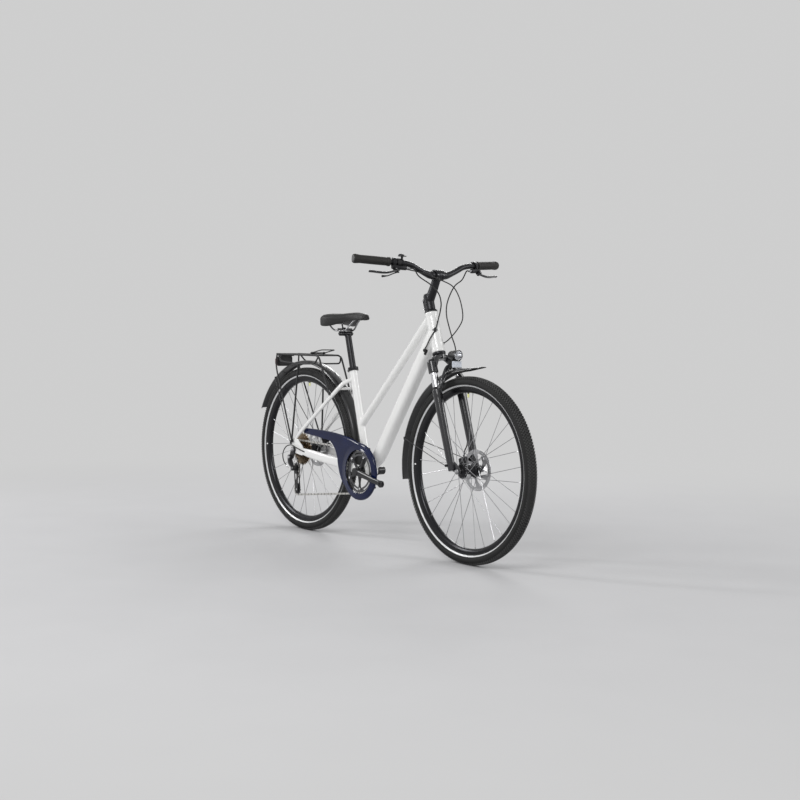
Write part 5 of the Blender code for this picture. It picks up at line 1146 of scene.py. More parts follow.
def at_face_corners(shape, lift, size=1.0):
    """Copies of a shape at the faceplate's four bolts, two above and two below, facing ahead."""
    out = towards(FACE, 1.0)
    spots = [CLAMP + out * lift + out.cross(ACROSS) * (0.0185 * end) + ACROSS * (0.0135 * side)
        for end in (-1, 1) for side in (-1, 1)]
    return copies(shape, spots, ACROSS.rotation_difference(out).to_matrix().to_4x4(), size)


put("stem_forging", steered(stem_body()), "steerer", ANODISED, "stem", 60.0)
face_lugs = at_face_corners(pin((0, 0, 0), 0.001, 0.0108, 0.0052), 0.0)
put("stem_front_plate", steered(half_barrel(-43.0, 133.0), face_lugs), "steerer", ANODISED,
    "stem_faceplate")
pinch_bolts = bolts_on(mm((-23, 10.8, 186), (-23, 10.8, 214)))
face_bolts = at_face_corners(bolt_head(), 0.0105, 0.9)
put("stem_bolts", steered(face_bolts, pinch_bolts, flipped(pinch_bolts)), "steerer", STEEL)
cap = upright_turned(mm((0, 232.8), (17.2, 232.8), (17.2, 235.2), (16.2, 236.8), (10, 237.6),
    (4.2, 237.6), (3.8, 235.2), (0, 235.2)))
put("stem_top_cap", steered(cap), "steerer", ANODISED, "stem_cap")


# Handlebar and grips
# A swept, rising bar in black anodised tube, thick at the clamp. Rubber grips with fine rings
# flare at the ends, where a glossy plug closes the tube.
BAR_CENTRE = STEER @ CLAMP
BAR_ROUTE = mm((0, 30, 0), (0, 45, 1), (-1, 75, 11), (-2, 100, 22), (-4, 125, 33.5), (-6, 145, 38.5),
    (-8.8, 165, 41.4))
BAR_END = (-0.065, 0.356, 0.053)
BAR_TUBE = 0.0111


def bar_spot(ahead, out, above, side=-1):
    return BAR_CENTRE + Vector((ahead, side * out, above))


CONTROL_SPOT = bar_spot(*BAR_ROUTE[-1])
OUTWARDS = (bar_spot(*BAR_END) - CONTROL_SPOT).normalized()
CONTROL_AHEAD = (AHEAD - OUTWARDS * OUTWARDS.x).normalized()
CONTROL = standing(CONTROL_SPOT, CONTROL_AHEAD, OUTWARDS.cross(CONTROL_AHEAD), OUTWARDS)
BAR_REACH = (bar_spot(*BAR_END) - CONTROL_SPOT).length - 0.002


def handlebar():
    right = [bar_spot(*station) for station in BAR_ROUTE]
    right += [CONTROL_SPOT + OUTWARDS * d for d in (0.006, 0.04, 0.1, BAR_REACH)]
    radii = [0.0159, 0.0138] + [BAR_TUBE] * (len(right) - 2)
    left = [Vector((p.x, -p.y, p.z)) for p in right]
    points = right[::-1] + [BAR_CENTRE] + left
    return tube(points, [2 * r for r in radii[::-1]] + [0.0318] + [2 * r for r in radii], 32, AHEAD, 5)


def both_sides(name, mesh, body, finish, node="", sharp=38.0):
    """A piece on the right of the bar and its mirror image on the left.

    A body or node that ends in _ has the side added to its name.
    """
    for side, shape in (("right", mesh), ("left", flipped(mesh))):
        put(name + "_" + side, shape, body + side if body.endswith("_") else body, finish,
            node and node + side, sharp)


def grip():
    end = BAR_REACH
    profile = mm((11.7, 53.6), (15.5, 53.6), (17.2, 54.2), (17.5, 55), (17.5, 62.6), (16.8, 63.8),
        (15.8, 64.6))
    ring_count = 26
    first, last = 0.068, end - 0.025
    for i in range(ring_count):
        spot = first + (last - first) * i / (ring_count - 1)
        swell = 0.0155 + 0.0004 * sin(pi * i / (ring_count - 1))
        profile += [(swell, spot - 0.0014), (swell + 0.0004, spot - 0.0008),
            (swell + 0.0004, spot + 0.0008), (swell, spot + 0.0014)]
    profile += [(radius, end + past) for radius, past in mm((16.6, -18), (17.7, -7), (17.7, -3),
        (17.2, 1), (15.8, 3.6), (12.6, 3.6), (12.6, 0.3), (11.7, 0.3))]
    return placed(turned(profile, along=UP), CONTROL)


def grip_plug():
    profile = mm((0, 0.4), (12.4, 0.4), (12.4, 3.2), (11, 4), (0, 4))
    return placed(turned(profile, UP * BAR_REACH, UP, 40), CONTROL)


GRIP_RUBBER = moulded("grip_rubber", "black_rubber", (0.013, 0.012, 0.011), 0.5, 1100.0, 0.00012)
PLUG_BLACK = moulded("plug_black", "black_rubber", (0.03, 0.03, 0.031), 0.24, 400.0, 0.00003, 0.4)
put("handlebar_tube", handlebar(), "steerer", ANODISED, "handlebar")
both_sides("grip_sleeve", grip(), "steerer", GRIP_RUBBER, "grip_", 50.0)
both_sides("grip_plug", grip_plug(), "steerer", PLUG_BLACK)


# Brake levers
# A hinged clamp and a slim master cylinder lie along the bar, with the hose nut at the inner
# end. Between two ears a two-finger blade turns on a steel pin.
LEVER = CONTROL @ Matrix.Rotation(radians(-52.0), 4, "Z")
LEVER_PIN = Vector((0.0395, 0.0, 0.036))
BLADE = mm((39.5, 36, 9.5, 8), (47.5, 48, 9.5, 6.8), (56, 72, 10.5, 5.5), (58.5, 100, 11.8, 4.8),
    (57.2, 130, 12.2, 4.8), (57.5, 146, 11, 5.6))


def ring_on_bar(low, high, radius, soft=0.001):
    return turned([(0.0117, low), (radius, low), (radius, high), (0.0117, high)], along=UP, steps=40,
        soft=soft)


def brake_body():
    shapes = [brick(*mm((12, -7, 31), (21.5, 7, 43)), 0.0015), turned(mm((0, -10), (6.8, -10),
        (8.5, -7), (8.5, 46), (7, 50), (0, 50)), (0.0252, 0, 0), UP, 32)]
    for low, high in ((-0.009, -0.006), (0.006, 0.009)):
        shapes.append(brick((0.025, low, 0.029), (0.044, high, 0.043), 0.0012))
    return together(placed(ring_on_bar(0.03, 0.044, 0.0172), CONTROL), placed(together(*shapes), LEVER))


def brake_metal():
    """The bright bits of a brake: hose nut, pivot pin and clamp bolt."""
    nut = turned(mm((0, -24), (3.6, -24), (4.2, -22.5), (4.2, -13), (5.2, -12.5), (5.2, -9.8),
        (0, -9.8)), Vector((0.0252, 0, 0)), UP, 6)
    post = pin(LEVER_PIN, -0.0096, 0.0096, 0.0024)
    clamp_bolt = placed(bolt_head(), Matrix.Translation((-0.012, 0.013, 0.037))
        @ Matrix.Rotation(0.7, 4, "Z"))
    return together(placed(together(nut, post), LEVER), placed(clamp_bolt, CONTROL))


def brake_blade():
    blade = tube([(x, 0, z) for x, z, w, d in BLADE], [(w, d) for x, z, w, d in BLADE], 20,
        squareness=2.4, dome=0.0026)
    root = pin(LEVER_PIN, -0.0056, 0.0056, 0.0056)
    return placed(fused(together(blade, root), 0.0009, 2), LEVER)


both_sides("brake_clamp", brake_body(), "steerer", ANODISED, "brake_body_")
both_sides("brake_fittings", brake_metal(), "steerer", STEEL)
both_sides("brake_blade", brake_blade(), "lever_", as_slot(GLOSS_BLACK, "black_anodised"),
    "brake_lever_", 60.0)


# Shifter and bell
# A plastic shifter under the right of the bar with a window on its case and a thumb lever. The
# bell's dome stands on a stalk beside it, with a sprung striker.
shifter_case = brick(*mm((-20, -34, 9.8), (4.5, -12.5, 29.2)), 0.0035, 4)
shifter_snout = turned(mm((0, -6), (3.4, -6), (3.8, -4), (4.2, 11), (0, 11)), (-0.003, -0.023, 0), UP,
    24)
put("shifter_case", placed(together(ring_on_bar(0.01, 0.024, 0.016), shifter_case, shifter_snout),
    CONTROL), "steerer", PLASTIC, "shifter_body")
put("shifter_trim", placed(together(brick(*mm((4, -30, 13), (5.2, -17, 26)), 0.0005),
    placed(bolt_head(), Matrix.Translation((-0.011, 0.0118, 0.017)) @ Matrix.Rotation(0.6, 4, "Z"))),
    CONTROL), "steerer", STEEL)
thumb_hub = turned(mm((0, 0.3), (9, 0.3), (9, 4), (0, 4)), (-0.006, -0.0345, 0.019), -ACROSS, 32,
    0.0006)
thumb_arm = tube(mm((-6, -37.2, 19), (-1, -44, 38), (5, -53.5, 60), (8, -57.5, 83)),
    mm((4, 10), (4, 8), (4.5, 8), (9, 12)), 20, squareness=2.6, dome=0.002)
put("shifter_thumb_lever", placed(together(thumb_hub, thumb_arm), CONTROL), "shift_lever", PLASTIC,
    "shift_thumb_lever")
dome = turned(mm((0, 24), (12.2, 23.6), (13, 24), (13, 26.2), (12.2, 29.2), (10, 32), (6, 33.8),
    (0, 34.3)), (0, 0, 0.008))
stalk = brick(*mm((-4, 13, 1), (4, 24, 8.6)), 0.0015)
put("bell_dome", placed(together(dome, stalk, ring_on_bar(0.0006, 0.009, 0.015)), CONTROL), "steerer",
    ANODISED, "bell")
striker_post = pin((0.016, 0.0225, 0.008), 0.0, 0.0045, 0.0025)
striker_arm = brick(*mm((15, 23.5, -6), (17, 26.3, 8)), 0.0006)
striker_pad = brick(*mm((14, 22.5, -6.6), (18, 27.3, -3)), 0.001)
put("bell_hammer", placed(together(striker_post, striker_arm, striker_pad), CONTROL), "striker",
    PLASTIC, "bell_striker")


# Mudguards
# Thin moulded guards in glossy black, drawn down at both sides, the front one flattened to a tip.
# Wire stays run from eyelets beside the axles to small clamps on the guards' edges.
GUARD_SECTION = mm((376, 26.5), (381.5, 25.4), (385, 22.2), (387, 17.5), (388.1, 9), (388.5, 0))
GUARD_WALL = 0.0018
GUARD_STAY = 0.0016
GUARD_BLACK = moulded("guard_black", "black_plastic", (0.013, 0.013, 0.014), 0.24, 500.0, 0.00003, 0.3)


def thickened(line, wall):
    """A closed outline from a line of points, with a wall on its inner side."""
    points = [Vector(p) for p in line]
    ends = [points[0]] + points + [points[-1]]
    inner = []
    for i, point in enumerate(points):
        heading = (ends[i + 2] - ends[i]).normalized()
        inner.append((point.x + heading.y * wall, point.y - heading.x * wall))
    return list(line) + inner[::-1]


def guard(centre, first, last, steps, flare=0.0):
    """A guard between two angles in degrees; flare straightens and flattens its first end."""
    line = list(GUARD_SECTION) + [(r, -y) for r, y in GUARD_SECTION[-2::-1]]
    section_line = thickened(line, GUARD_WALL)
    crest = GUARD_SECTION[-1][0]
    rings = []
    for i in range(steps + 1):
        angle = first + (last - first) * i / steps
        into_flare = max(0.0, 15.0 - (angle - first)) / 15.0 if flare else 0.0
        lift = flare * crest * (1.0 / cos(radians(15.0 * into_flare)) - 1.0)
        taper = 1.0 - 0.35 * into_flare ** 3 if flare else 1.0
        rings.append([centre + towards(radians(angle), crest + lift + (r - crest)
            * (1.0 - 0.75 * into_flare), y * taper) for r, y in section_line])
    return skin(rings)


def bent(points, radius, steps=5):
    """A line with its corners rounded, for bent wire and rod."""
    points = [Vector(p) for p in points]
    made = [points[0]]
    for before, corner, after in zip(points, points[1:], points[2:]):
        back, ahead = before - corner, after - corner
        cut = min(radius, back.length * 0.48, ahead.length * 0.48)
        start, finish = corner + back.normalized() * cut, corner + ahead.normalized() * cut
        made += [start * (1 - t) ** 2 + corner * 2 * t * (1 - t) + finish * t * t
            for t in (k / steps for k in range(steps + 1))]
    return made + [points[-1]]


def rod(points, thickness, bend=0.012, sides=12):
    return cord_tube(bent(points, bend), thickness, sides, 1)


def guard_stays(eye, anchor, out):
    """The stay on the left, with its eyelet, screw and clamp, and the same on the right."""
    start = Vector((eye.x, out, eye.z))
    finish = Vector((anchor.x, 0.0262, anchor.z))
    turn = start.lerp(finish, 0.065)
    turn.y = start.y
    eyelet = turned(mm((2.1, -2), (5.2, -2), (5.2, 1.8), (2.1, 1.8)), start, steps=28, soft=0.0004)
    screw = moved(bolt_head(0.0036, 0.0022, 0.0018), start + ACROSS * 0.0017)
    clamp = moved(brick(*mm((-4.5, -2.2, -6), (4.5, 2.2, 6)), 0.0012), finish)
    left = together(rod([start, turn, finish], GUARD_STAY, 0.02), eyelet, screw, clamp)
    return together(left, flipped(left))


def polar(centre, radius, degrees):
    return centre + towards(radians(degrees), radius)


to_bridge = (Matrix.Translation(REAR) @ Matrix.Rotation(atan2(REAR.z - CHAIN_BRIDGE.z,
    CHAIN_BRIDGE.x - REAR.x), 4, "Y"))
rear_clip = placed(brick(*mm((387, -7, -5), (401.2, 7, 5)), 0.001), to_bridge)
rear_eye = REAR + Vector((-0.022, 0, 0.026))
put("rear_guard", together(guard(REAR, -10.0, 155.0, 96), rear_clip), "bike", GUARD_BLACK,
    "rear_mudguard")
put("rear_guard_stays", guard_stays(rear_eye, polar(REAR, 0.3795, 127.0), 0.0758), "bike", SATIN_BLACK)
front_tab = steered(brick(*mm((40, -8, -93), (46.7, 8, -66)), 0.001))
front_eye = STEER @ Vector((0.008, 0, -0.448))
put("front_guard", together(guard(FRONT, 80.0, 190.0, 72, 0.9), front_tab), "lowers", GUARD_BLACK,
    "front_mudguard")
put("front_guard_stays", guard_stays(front_eye, polar(FRONT, 0.3795, 165.0), 0.0778), "lowers",
    SATIN_BLACK)


# Rack and rear light
# Round rod, bent, welded and powder coated black: top rails, pannier rails, legs to the dropouts
# and cross rods. A sprung wire clip lies on top and a red light hangs behind.
RACK_TOP = 0.77
RACK_HALF = 0.058
TOP_RAIL = ((-0.7117, RACK_HALF, RACK_TOP), (-0.4, RACK_HALF, RACK_TOP), (-0.38, RACK_HALF, 0.762),
    (-0.3035, 0.0562, 0.605))
PANNIER_RAIL = ((-0.698, RACK_HALF, 0.767), (-0.6695, 0.066, 0.739), (-0.5202, 0.068, 0.7306),
    (-0.4, 0.066, 0.735), (-0.386, 0.059, 0.764))
LEG_ROUTE = mm((-525.6, 67, 730.6), (-534, 70.5, 625), (-553, 79.5, 396))
BACK_LEG = ((-0.71, RACK_HALF, RACK_TOP), (-0.7165, 0.06, 0.729), (-0.704, 0.0625, 0.695),
    (-0.556, 0.079, 0.396))
CLIP_SPOT = pivot("rack_clip_lift")
POWDER_BLACK = moulded("powder_black", "black_paint", (0.015, 0.015, 0.016), 0.34)

def rack_side():
    foot = Vector((-0.553, 0, 0.393))
    eye = turned(mm((3, 73.8), (6.2, 73.8), (6.2, 83.3), (3, 83.3)), foot, steps=28, soft=0.0006)
    screw = moved(bolt_head(0.0048, 0.0026, 0.0022), foot + Vector((0, 0.0832, 0)))
    inner = rod([(-0.71, 0.022, RACK_TOP), (-0.398, 0.022, RACK_TOP)], 0.0035)
    stand = brick((CLIP_SPOT.x - 0.006, 0.016, RACK_TOP), (CLIP_SPOT.x + 0.006, 0.029, 0.775), 0.001)
    arm = brick(*mm((-731, 26.2, 760), (-710, 33.8, 766)), 0.0012)
    return together(rod(TOP_RAIL, 0.004, 0.022), rod(PANNIER_RAIL, 0.0035, 0.016),
        rod(LEG_ROUTE, 0.004, 0.03), rod(BACK_LEG, 0.0035, 0.03), eye, screw, inner, stand, arm)


rack_left = rack_side()
cross_rods = [rod([(x, -RACK_HALF, RACK_TOP), (x, RACK_HALF, RACK_TOP)], 0.0036)
    for x in (-0.71, -0.545, -0.4)]
light_plate = brick(*mm((-732.5, -34, 722), (-729.5, 34, 766)), 0.0008)
put("rack_rods", together(rack_left, flipped(rack_left), light_plate, *cross_rods), "bike",
    POWDER_BLACK, "rack")
REACH, HALF, LIFT = 0.077, 0.035, 0.015
clip_route = [CLIP_SPOT + Vector(p) for p in (
    (0, -HALF, 0), (0.04, -HALF, LIFT * 0.55), (REACH, -HALF, LIFT),
    (REACH, HALF, LIFT), (0.04, HALF, LIFT * 0.55), (0, HALF, 0))]
clip_bar = rod([CLIP_SPOT - ACROSS * 0.038, CLIP_SPOT + ACROSS * 0.038], 0.0034)
coil = mm((3.6, -1), (5.4, -0.6), (5.4, 0.6), (3.6, 1))
coils = [turned(coil, CLIP_SPOT + ACROSS * (side * (0.031 + k * 0.0022)), steps=24) for side in (-1, 1)
    for k in range(-1, 2)]
put("rack_clip_wire", together(rod(clip_route, 0.0024, 0.008), clip_bar, *coils), "clip", POWDER_BLACK,
    "rack_clip")
# The red lens has the same painted glints and shade on its facets: paler red in each facet's middle,
# darker at its rim.
RED = prismatic("red_lens", "red_lens", ((0.17, 0.004, 0.005), (0.06, 0.001, 0.002)), 330.0, 0.1,
    0.0004, 0.7)
light_back = brick(*mm((-740, -40, 715), (-732.8, 40, 757)), 0.003, 3)
light_lens = brick(*mm((-765, -38.5, 716.5), (-739.6, 38.5, 755.5)), 0.008, 5)
put("rear_light_lens", light_lens, "bike", RED, "rear_light")
put("rear_light_back", light_back, "bike", SATIN_BLACK)


# Seatpost and saddle
# A black post with a two-bolt head. The saddle is a moulded shell on steel rails under foam and a
# smooth cover with a paler panel on the nose, two sewn seams and a grained flank.
def seatpost():
    post = placed(upright_turned(mm((0, 236), (13.6, 236), (13.6, 580), (12, 584), (0, 584))), SEAT)
    head = brick(*mm((-290, -28, 856), (-245, 28, 874.2)), 0.005, 3)
    return fused(together(post, head), 0.0019, 2)


RAIL_ROUTE = mm((-346, 34, 908), (-338, 32, 898), (-326, 26, 884), (-314, 22, 878), (-248, 22, 878),
    (-234, 21, 884), (-202, 16, 914), (-176, 11, 929), (-162, 6, 933))
rail_points = [(x, -y, z) for x, y, z in RAIL_ROUTE] + list(RAIL_ROUTE[::-1])
rail_points[0] = (-0.348, -0.0346, 0.91)
rail_points[-1] = (-0.348, 0.0346, 0.91)
put("seatpost_tube", seatpost(), "seat", ANODISED, "seatpost", 50.0)
clamp_top = brick(*mm((-292, -28, 881.8), (-257, 28, 888)), 0.0018)
clamp_bolt = upright_turned(mm((0, 870), (3, 870), (3, 888), (4.8, 888), (4.8, 891.5), (0, 891.5)),
    -0.278, 0.0, 24)
put("saddle_clamp_plate", together(clamp_top, clamp_bolt), "seat", ANODISED, "saddle_clamp")
put("saddle_rail_wire", cord_tube(bent(rail_points, 0.01), 0.0035, 16, 1), "seat", STEEL,
    "saddle_rails")

SADDLE_STATIONS = mm((-116, 4.5, 937, 934.5), (-118.5, 11.5, 941, 930.5), (-127, 18, 947, 925),
    (-153, 21, 952, 922), (-185, 25, 954, 922), (-220, 35, 952.5, 918), (-255, 52, 950, 907),
    (-290, 68, 949.5, 898), (-322, 76.5, 950, 896), (-349, 74, 948.5, 899), (-368, 61, 943, 904),
    (-377, 40, 936, 911))
SADDLE_CROWN = ((0.0, 0.0), (0.24, 0.0002), (0.46, 0.0012), (0.66, 0.0032), (0.82, 0.0066),
    (0.93, 0.0112), (0.985, 0.0165), (1.0, 0.0225))


def stations_between(count):
    """Saddle stations on smooth curves through the measured ones."""
    spine = eased([(x, half, top) for x, half, top, edge in SADDLE_STATIONS], count)
    edges = eased([(x, edge, 0.0) for x, half, top, edge in SADDLE_STATIONS], count)
    return [(a.x, a.y, a.z, b.y) for a, b in zip(spine, edges)]


def saddle_half(x, half, top, edge):
    """Half of the cover's section, from its middle round the side to the lower lip."""
    room = (top - edge) * 0.74
    line = [(half * share, top - min(drop, room)) for share, drop in SADDLE_CROWN]
    return line + [(half * 0.985, edge + 0.003), (half * 0.94, edge), (half * 0.86, edge + 0.0014)]


def saddle_cover():
    rings = []
    for x, half, top, edge in stations_between(6):
        line = [(p.x, p.y) for p in eased([(y, z, 0.0) for y, z in saddle_half(x, half, top, edge)], 2)]
        line += [(half * 0.45, edge + 0.009)]
        ring = [Vector((x, y, z)) for y, z in line]
        ring += [Vector((x, -y, z)) for y, z in reversed(line[1:])]
        rings.append(ring)
    return skin(rings)


def cover_spot(station, share, lift):
    """A point on the cover's top, a share of the way out from its middle."""
    x, half, top, edge = station
    drop = min(between(SADDLE_CROWN, share), (top - edge) * 0.74)
    return Vector((x, half * share, top - drop + lift))


def seam(first, last, inner, outer):
    """A sewn seam: a low bead with stitches beside it, on the left and on the right."""
    stations = stations_between(6)[first:last]
    count = len(stations) - 1
    line = [cover_spot(s, inner + (outer - inner) * i / count, 0.0002) for i, s in enumerate(stations)]
    left = cord_tube(line, 0.0009, 8, 2)
    return together(left, flipped(left))


def nose_panel():
    """The paler panel: a skin laid on the cover from the nose to the middle."""
    rings = []
    stations = stations_between(6)[9:37]
    for i, station in enumerate(stations):
        width = 0.66 - 0.3 * max(0.0, (i - 14) / 13.0)
        shares = [width * k / 6 for k in range(7)]
        upper = [cover_spot(station, s, 0.0007) for s in shares]
        lower = [cover_spot(station, s, -0.001) for s in reversed(shares)]
        left = upper + lower
        ring = left + [Vector((p.x, -p.y, p.z)) for p in reversed(lower[:-1])]
        ring += [Vector((p.x, -p.y, p.z)) for p in reversed(upper[1:])]
        rings.append(ring)
    return skin(rings)


def leather(name, dark, pale, rough):
    """Smooth cover with a fine pebbled grain and a soft sheen."""
    made, wire, shader = new_material(name)
    grain = wire.cells(900.0)
    link(wire.noise(22.0).blended(dark, pale), shader, "Base Color")
    link(rough + grain * 0.18, shader, "Roughness")
    link((grain + wire.noise(120.0) * 0.6).bumped(0.00016, 0.8), shader, "Normal")
    shader.inputs["Specular IOR Level"].default_value = 0.4
    return made, "saddle_cover"


COVER = leather("saddle_cover", [0.009] * 3, [0.016] * 3, 0.42)
PANEL = leather("saddle_panel", [0.034] * 3, (0.05, 0.05, 0.049), 0.32)
cover = put("saddle_pad", saddle_cover(), "seat", COVER, "saddle", 60.0)
panel = put("saddle_nose_panel", nose_panel(), "seat", PANEL, None, 60.0)
put("saddle_seams", seam(10, 64, 0.72, 0.8), "seat", PANEL)
collar = turned(mm((18.1, 428), (21.2, 428), (21.8, 429), (21.8, 442.5), (21, 443.5), (18.1, 443.5)),
    (0, 0, 0), UP, 56)
collar_ears = brick(*mm((-33, -5, 430), (-20, 5, 441.5)), 0.0012)
collar_bolt = pin((-0.028, 0, 0.436), -0.011, 0.011, 0.0036)
put("seat_clamp_ring", placed(together(collar, collar_ears), SEAT), "bike", ANODISED, "seat_collar")
put("seat_clamp_bolt", placed(collar_bolt, SEAT), "bike", STEEL)


# Cranks and chainring
# Forged black arms on a hollow spindle in threaded cups. A five-armed spider carries a dark
# chainring by five bright bolts, and each arm ends in an eye for a pedal.
CHAIN_LINE = -0.04616
PITCH = 0.0127
CRANK_LENGTH = 0.175
CRANK_TURN = -11.0
RING_TEETH = 44


def bored(mesh, cutter):
    """A shape less another."""
    host = bpy.data.objects.new("host", mesh)
    tool = bpy.data.objects.new("tool", cutter)
    for made in (host, tool):
        scene.collection.objects.link(made)
    step = host.modifiers.new("bore", "BOOLEAN")
    step.object = tool
    step.operation = "DIFFERENCE"
    step.solver = "EXACT"
    made = evaluated(host)
    bpy.data.objects.remove(tool)
    return made


def crank(side, degrees):
    """An arm, its boss and its eye, drawn round the spindle."""
    heading = towards(radians(degrees), 1.0)
    middle = ACROSS * (side * 0.0665)
    eye = middle + heading * CRANK_LENGTH
    arm = tube([middle, middle + heading * 0.03, middle + heading * 0.12, eye],
        mm((12.5, 30), (12.5, 25), (11.8, 21.5), (11.8, 25)), 28, squareness=2.8)
    shapes = [arm, pin((0, 0, 0), *sorted((side * 0.0425, side * 0.0755)), 0.0175, 0.0012, 48),
        pin(heading * CRANK_LENGTH, *sorted((side * 0.06, side * 0.073)), 0.0145, 0.001, 40)]
    if side < 0:
        for i in range(5):
            out = towards(tau * i / 5 + radians(CRANK_TURN), 1.0)
            foot = ACROSS * -0.05
            shapes.append(tube([foot + out * 0.01, foot + out * 0.045, foot + out * 0.0735],
                mm((5.2, 21), (5, 13), (5, 12)), 20, squareness=3.0))
    solid = fused(together(*shapes), 0.0016, 2)
    hole = pin(heading * CRANK_LENGTH, *sorted((side * 0.05, side * 0.085)), 0.0071, 0.0, 32)
    return moved(bored(solid, hole), BB)


def sprocket_radius(teeth):
    return PITCH / 2 / sin(pi / teeth)


def toothed(teeth, root, tip, share=0.5):
    """A sprocket's edge: rounded roots between slim teeth."""
    outline = []
    pitch = sprocket_radius(teeth)
    for i in range(teeth):
        for k, rise in ((0.0, -root), (0.16, -root * 0.75), (0.34, tip * 0.45), (0.44, tip),
                (0.56, tip), (0.66, tip * 0.45), (0.84, -root * 0.75)):
            spot = towards(tau * (i + k + share) / teeth, pitch + rise)
            outline.append((spot.x, spot.z))
    return outline


def sector(inner, outer, *ends, soft=0.002):
    """A rounded window between two radii and two angles in degrees."""
    first, last = map(radians, ends)
    return softened(arc(outer, first, last, 8) + arc(inner, last, first, 8), soft, 2)


cups = turned(mm((12.6, -42), (19.6, -42), (20.5, -41), (20.5, -34.3), (16.6, -34.3), (16.6, 34.3),
    (20.5, 34.3), (20.5, 41), (19.6, 42), (12.6, 42)), BB, steps=56)
put("bottom_bracket_cups", cups, "bike", ANODISED, "bottom_bracket")
CRANK_BLACK = anodised("crank_black", (0.02, 0.02, 0.022), 0.26, 400.0, 0.4)
put("crank_arm_right", crank(-1, CRANK_TURN), "crankset", CRANK_BLACK, "crank_right", 60.0)
put("crank_arm_left", crank(1, CRANK_TURN + 180.0), "crankset", CRANK_BLACK, "crank_left", 60.0)
put("crank_spindle", pin(BB, -0.075, 0.059, 0.012, 0.0005, 40), "crankset", STEEL)
CHAINRING_DARK = bright_metal("chainring_dark", "steel", (0.13, 0.13, 0.135), 0.3)
ring_windows = [sector(0.0735, 0.079, 72 * i + 14 - 11, 72 * i + 58 - 11) for i in range(5)]
ring_plate = slab(toothed(RING_TEETH, 0.004, 0.0028), CHAIN_LINE - 0.001, CHAIN_LINE + 0.001,
    [circle(0, 0, 0.066, 72)] + ring_windows)
put("chainring_plate", moved(ring_plate, BB), "crankset", CHAINRING_DARK, "chainring")
ring_bolt = turned(mm((0, -54), (3, -54), (3.4, -53.2), (4.8, -53.5), (4.8, -43.8), (0, -43.8)),
    towards(radians(CRANK_TURN), 0.07), steps=24)
put("chainring_bolts", around(ring_bolt, 5, CHROME, BB), "crankset", as_slot(CHROME, "steel"))


# Cassette
# Nine stamped sprockets with a warm brown coating, lightened by windows, on one carrier with
# spacers, and a steel lockring outside.
SPROCKETS = (34, 30, 26, 23, 20, 17, 15, 13, 11)
BRONZE = bright_metal("sprocket_coating", "sprocket_steel", (0.3, 0.235, 0.165), 0.17)


def cassette():
    shapes = []
    for k, teeth in enumerate(SPROCKETS):
        y = -(0.0288 + k * 0.00434)
        holes = [circle(0, 0, 0.018, 36)]
        if k < 3:
            outer = sprocket_radius(teeth) - 0.0125
            holes += [sector(0.0265, outer, 60 * i + 8, 60 * i + 48, soft=0.003) for i in range(6)]
        shapes.append(slab(toothed(teeth, 0.0036, 0.0024, 0.13 * k), y - 0.0008, y + 0.0008, holes))
    sleeve = mm((17.3, -27.6), (20.5, -27.6), (20.5, -63), (17.3, -63))
    shapes.append(turned(sleeve))
    return moved(together(*shapes), REAR)


put("cassette_sprockets", cassette(), "sprockets", BRONZE, "cassette")
lockring = turned(mm((17.3, -63), (20, -63), (20, -64.5), (19, -65.1), (17.3, -65.1)), REAR)
put("cassette_lockring", lockring, "sprockets", STEEL)


# Derailleur
# A black derailleur bolted to the hanger: two knuckles joined by a parallelogram with silvered
# pins, a long slotted cage and two toothed plastic wheels.
GUIDE = pivot("guide_pulley_spin")
TENSION = pivot("tension_pulley_spin")
KNUCKLE = REAR + Vector((-0.016, 0, -0.034))
HANGER = mm((-14, 10), (10, 12), (16, 0), (10, -14), (0, -40), (-18, -47), (-29, -38), (-22, -12))
CAGE_LEAN = atan2(TENSION.z - GUIDE.z, TENSION.x - GUIDE.x)


def cage_plate(low, high):
    outline = []
    for centre, first, radius in ((GUIDE, CAGE_LEAN + pi / 2, 0.0125),
            (TENSION, CAGE_LEAN - pi / 2, 0.0118)):
        outline += arc(radius, first, first + pi, 14, centre.x, centre.z)
    along = TENSION - GUIDE
    across = Vector((along.z, 0, -along.x)).normalized() * 0.0045
    corners = [GUIDE + along * 0.27 + across, GUIDE + along * 0.73 + across,
        GUIDE + along * 0.73 - across, GUIDE + along * 0.27 - across]
    window = softened([(c.x, c.z) for c in corners], 0.0044)
    return slab(outline, low, high, [window], 0.0004)


def pulley(centre):
    edge = toothed(11, 0.0035, 0.0018)
    holes = [circle(0, 0, 0.0041, 24)]
    holes += [circle(0.0105 * cos(a), 0.0105 * sin(a), 0.0022, 12)
        for a in (tau * i / 6 for i in range(6))]
    wheel = slab(edge, CHAIN_LINE - 0.0011, CHAIN_LINE + 0.0011, holes)
    return moved(wheel, (centre.x, 0, centre.z))


def derailleur_body():
    hanger = by_rear_axle(HANGER, 0.004, -0.0778, -0.0738, 0.0008)
    upper = pin(KNUCKLE, -0.09, -0.0745, 0.0105, 0.0016, 40)
    lower = pin(GUIDE, -0.071, CHAIN_LINE - 0.0073, 0.012, 0.0016, 40)
    inner = tube([KNUCKLE + Vector((-0.004, -0.08, 0)),
        (KNUCKLE + GUIDE) / 2 + Vector((-0.002, -0.0735, 0)), GUIDE - ACROSS * 0.065],
        mm((7, 19), (8.5, 23), (9, 21)), 24, squareness=3.2)
    outer = tube([KNUCKLE + Vector((-0.005, -0.086, 0.002)),
        (KNUCKLE + GUIDE) / 2 + Vector((-0.007, -0.0815, 0)), GUIDE + Vector((-0.003, -0.069, 0.004))],
        mm((5, 15), (5.6, 20), (6, 15)), 24, squareness=3.0)
    return together(hanger, fused(together(upper, lower, inner, outer), 0.0013, 2))


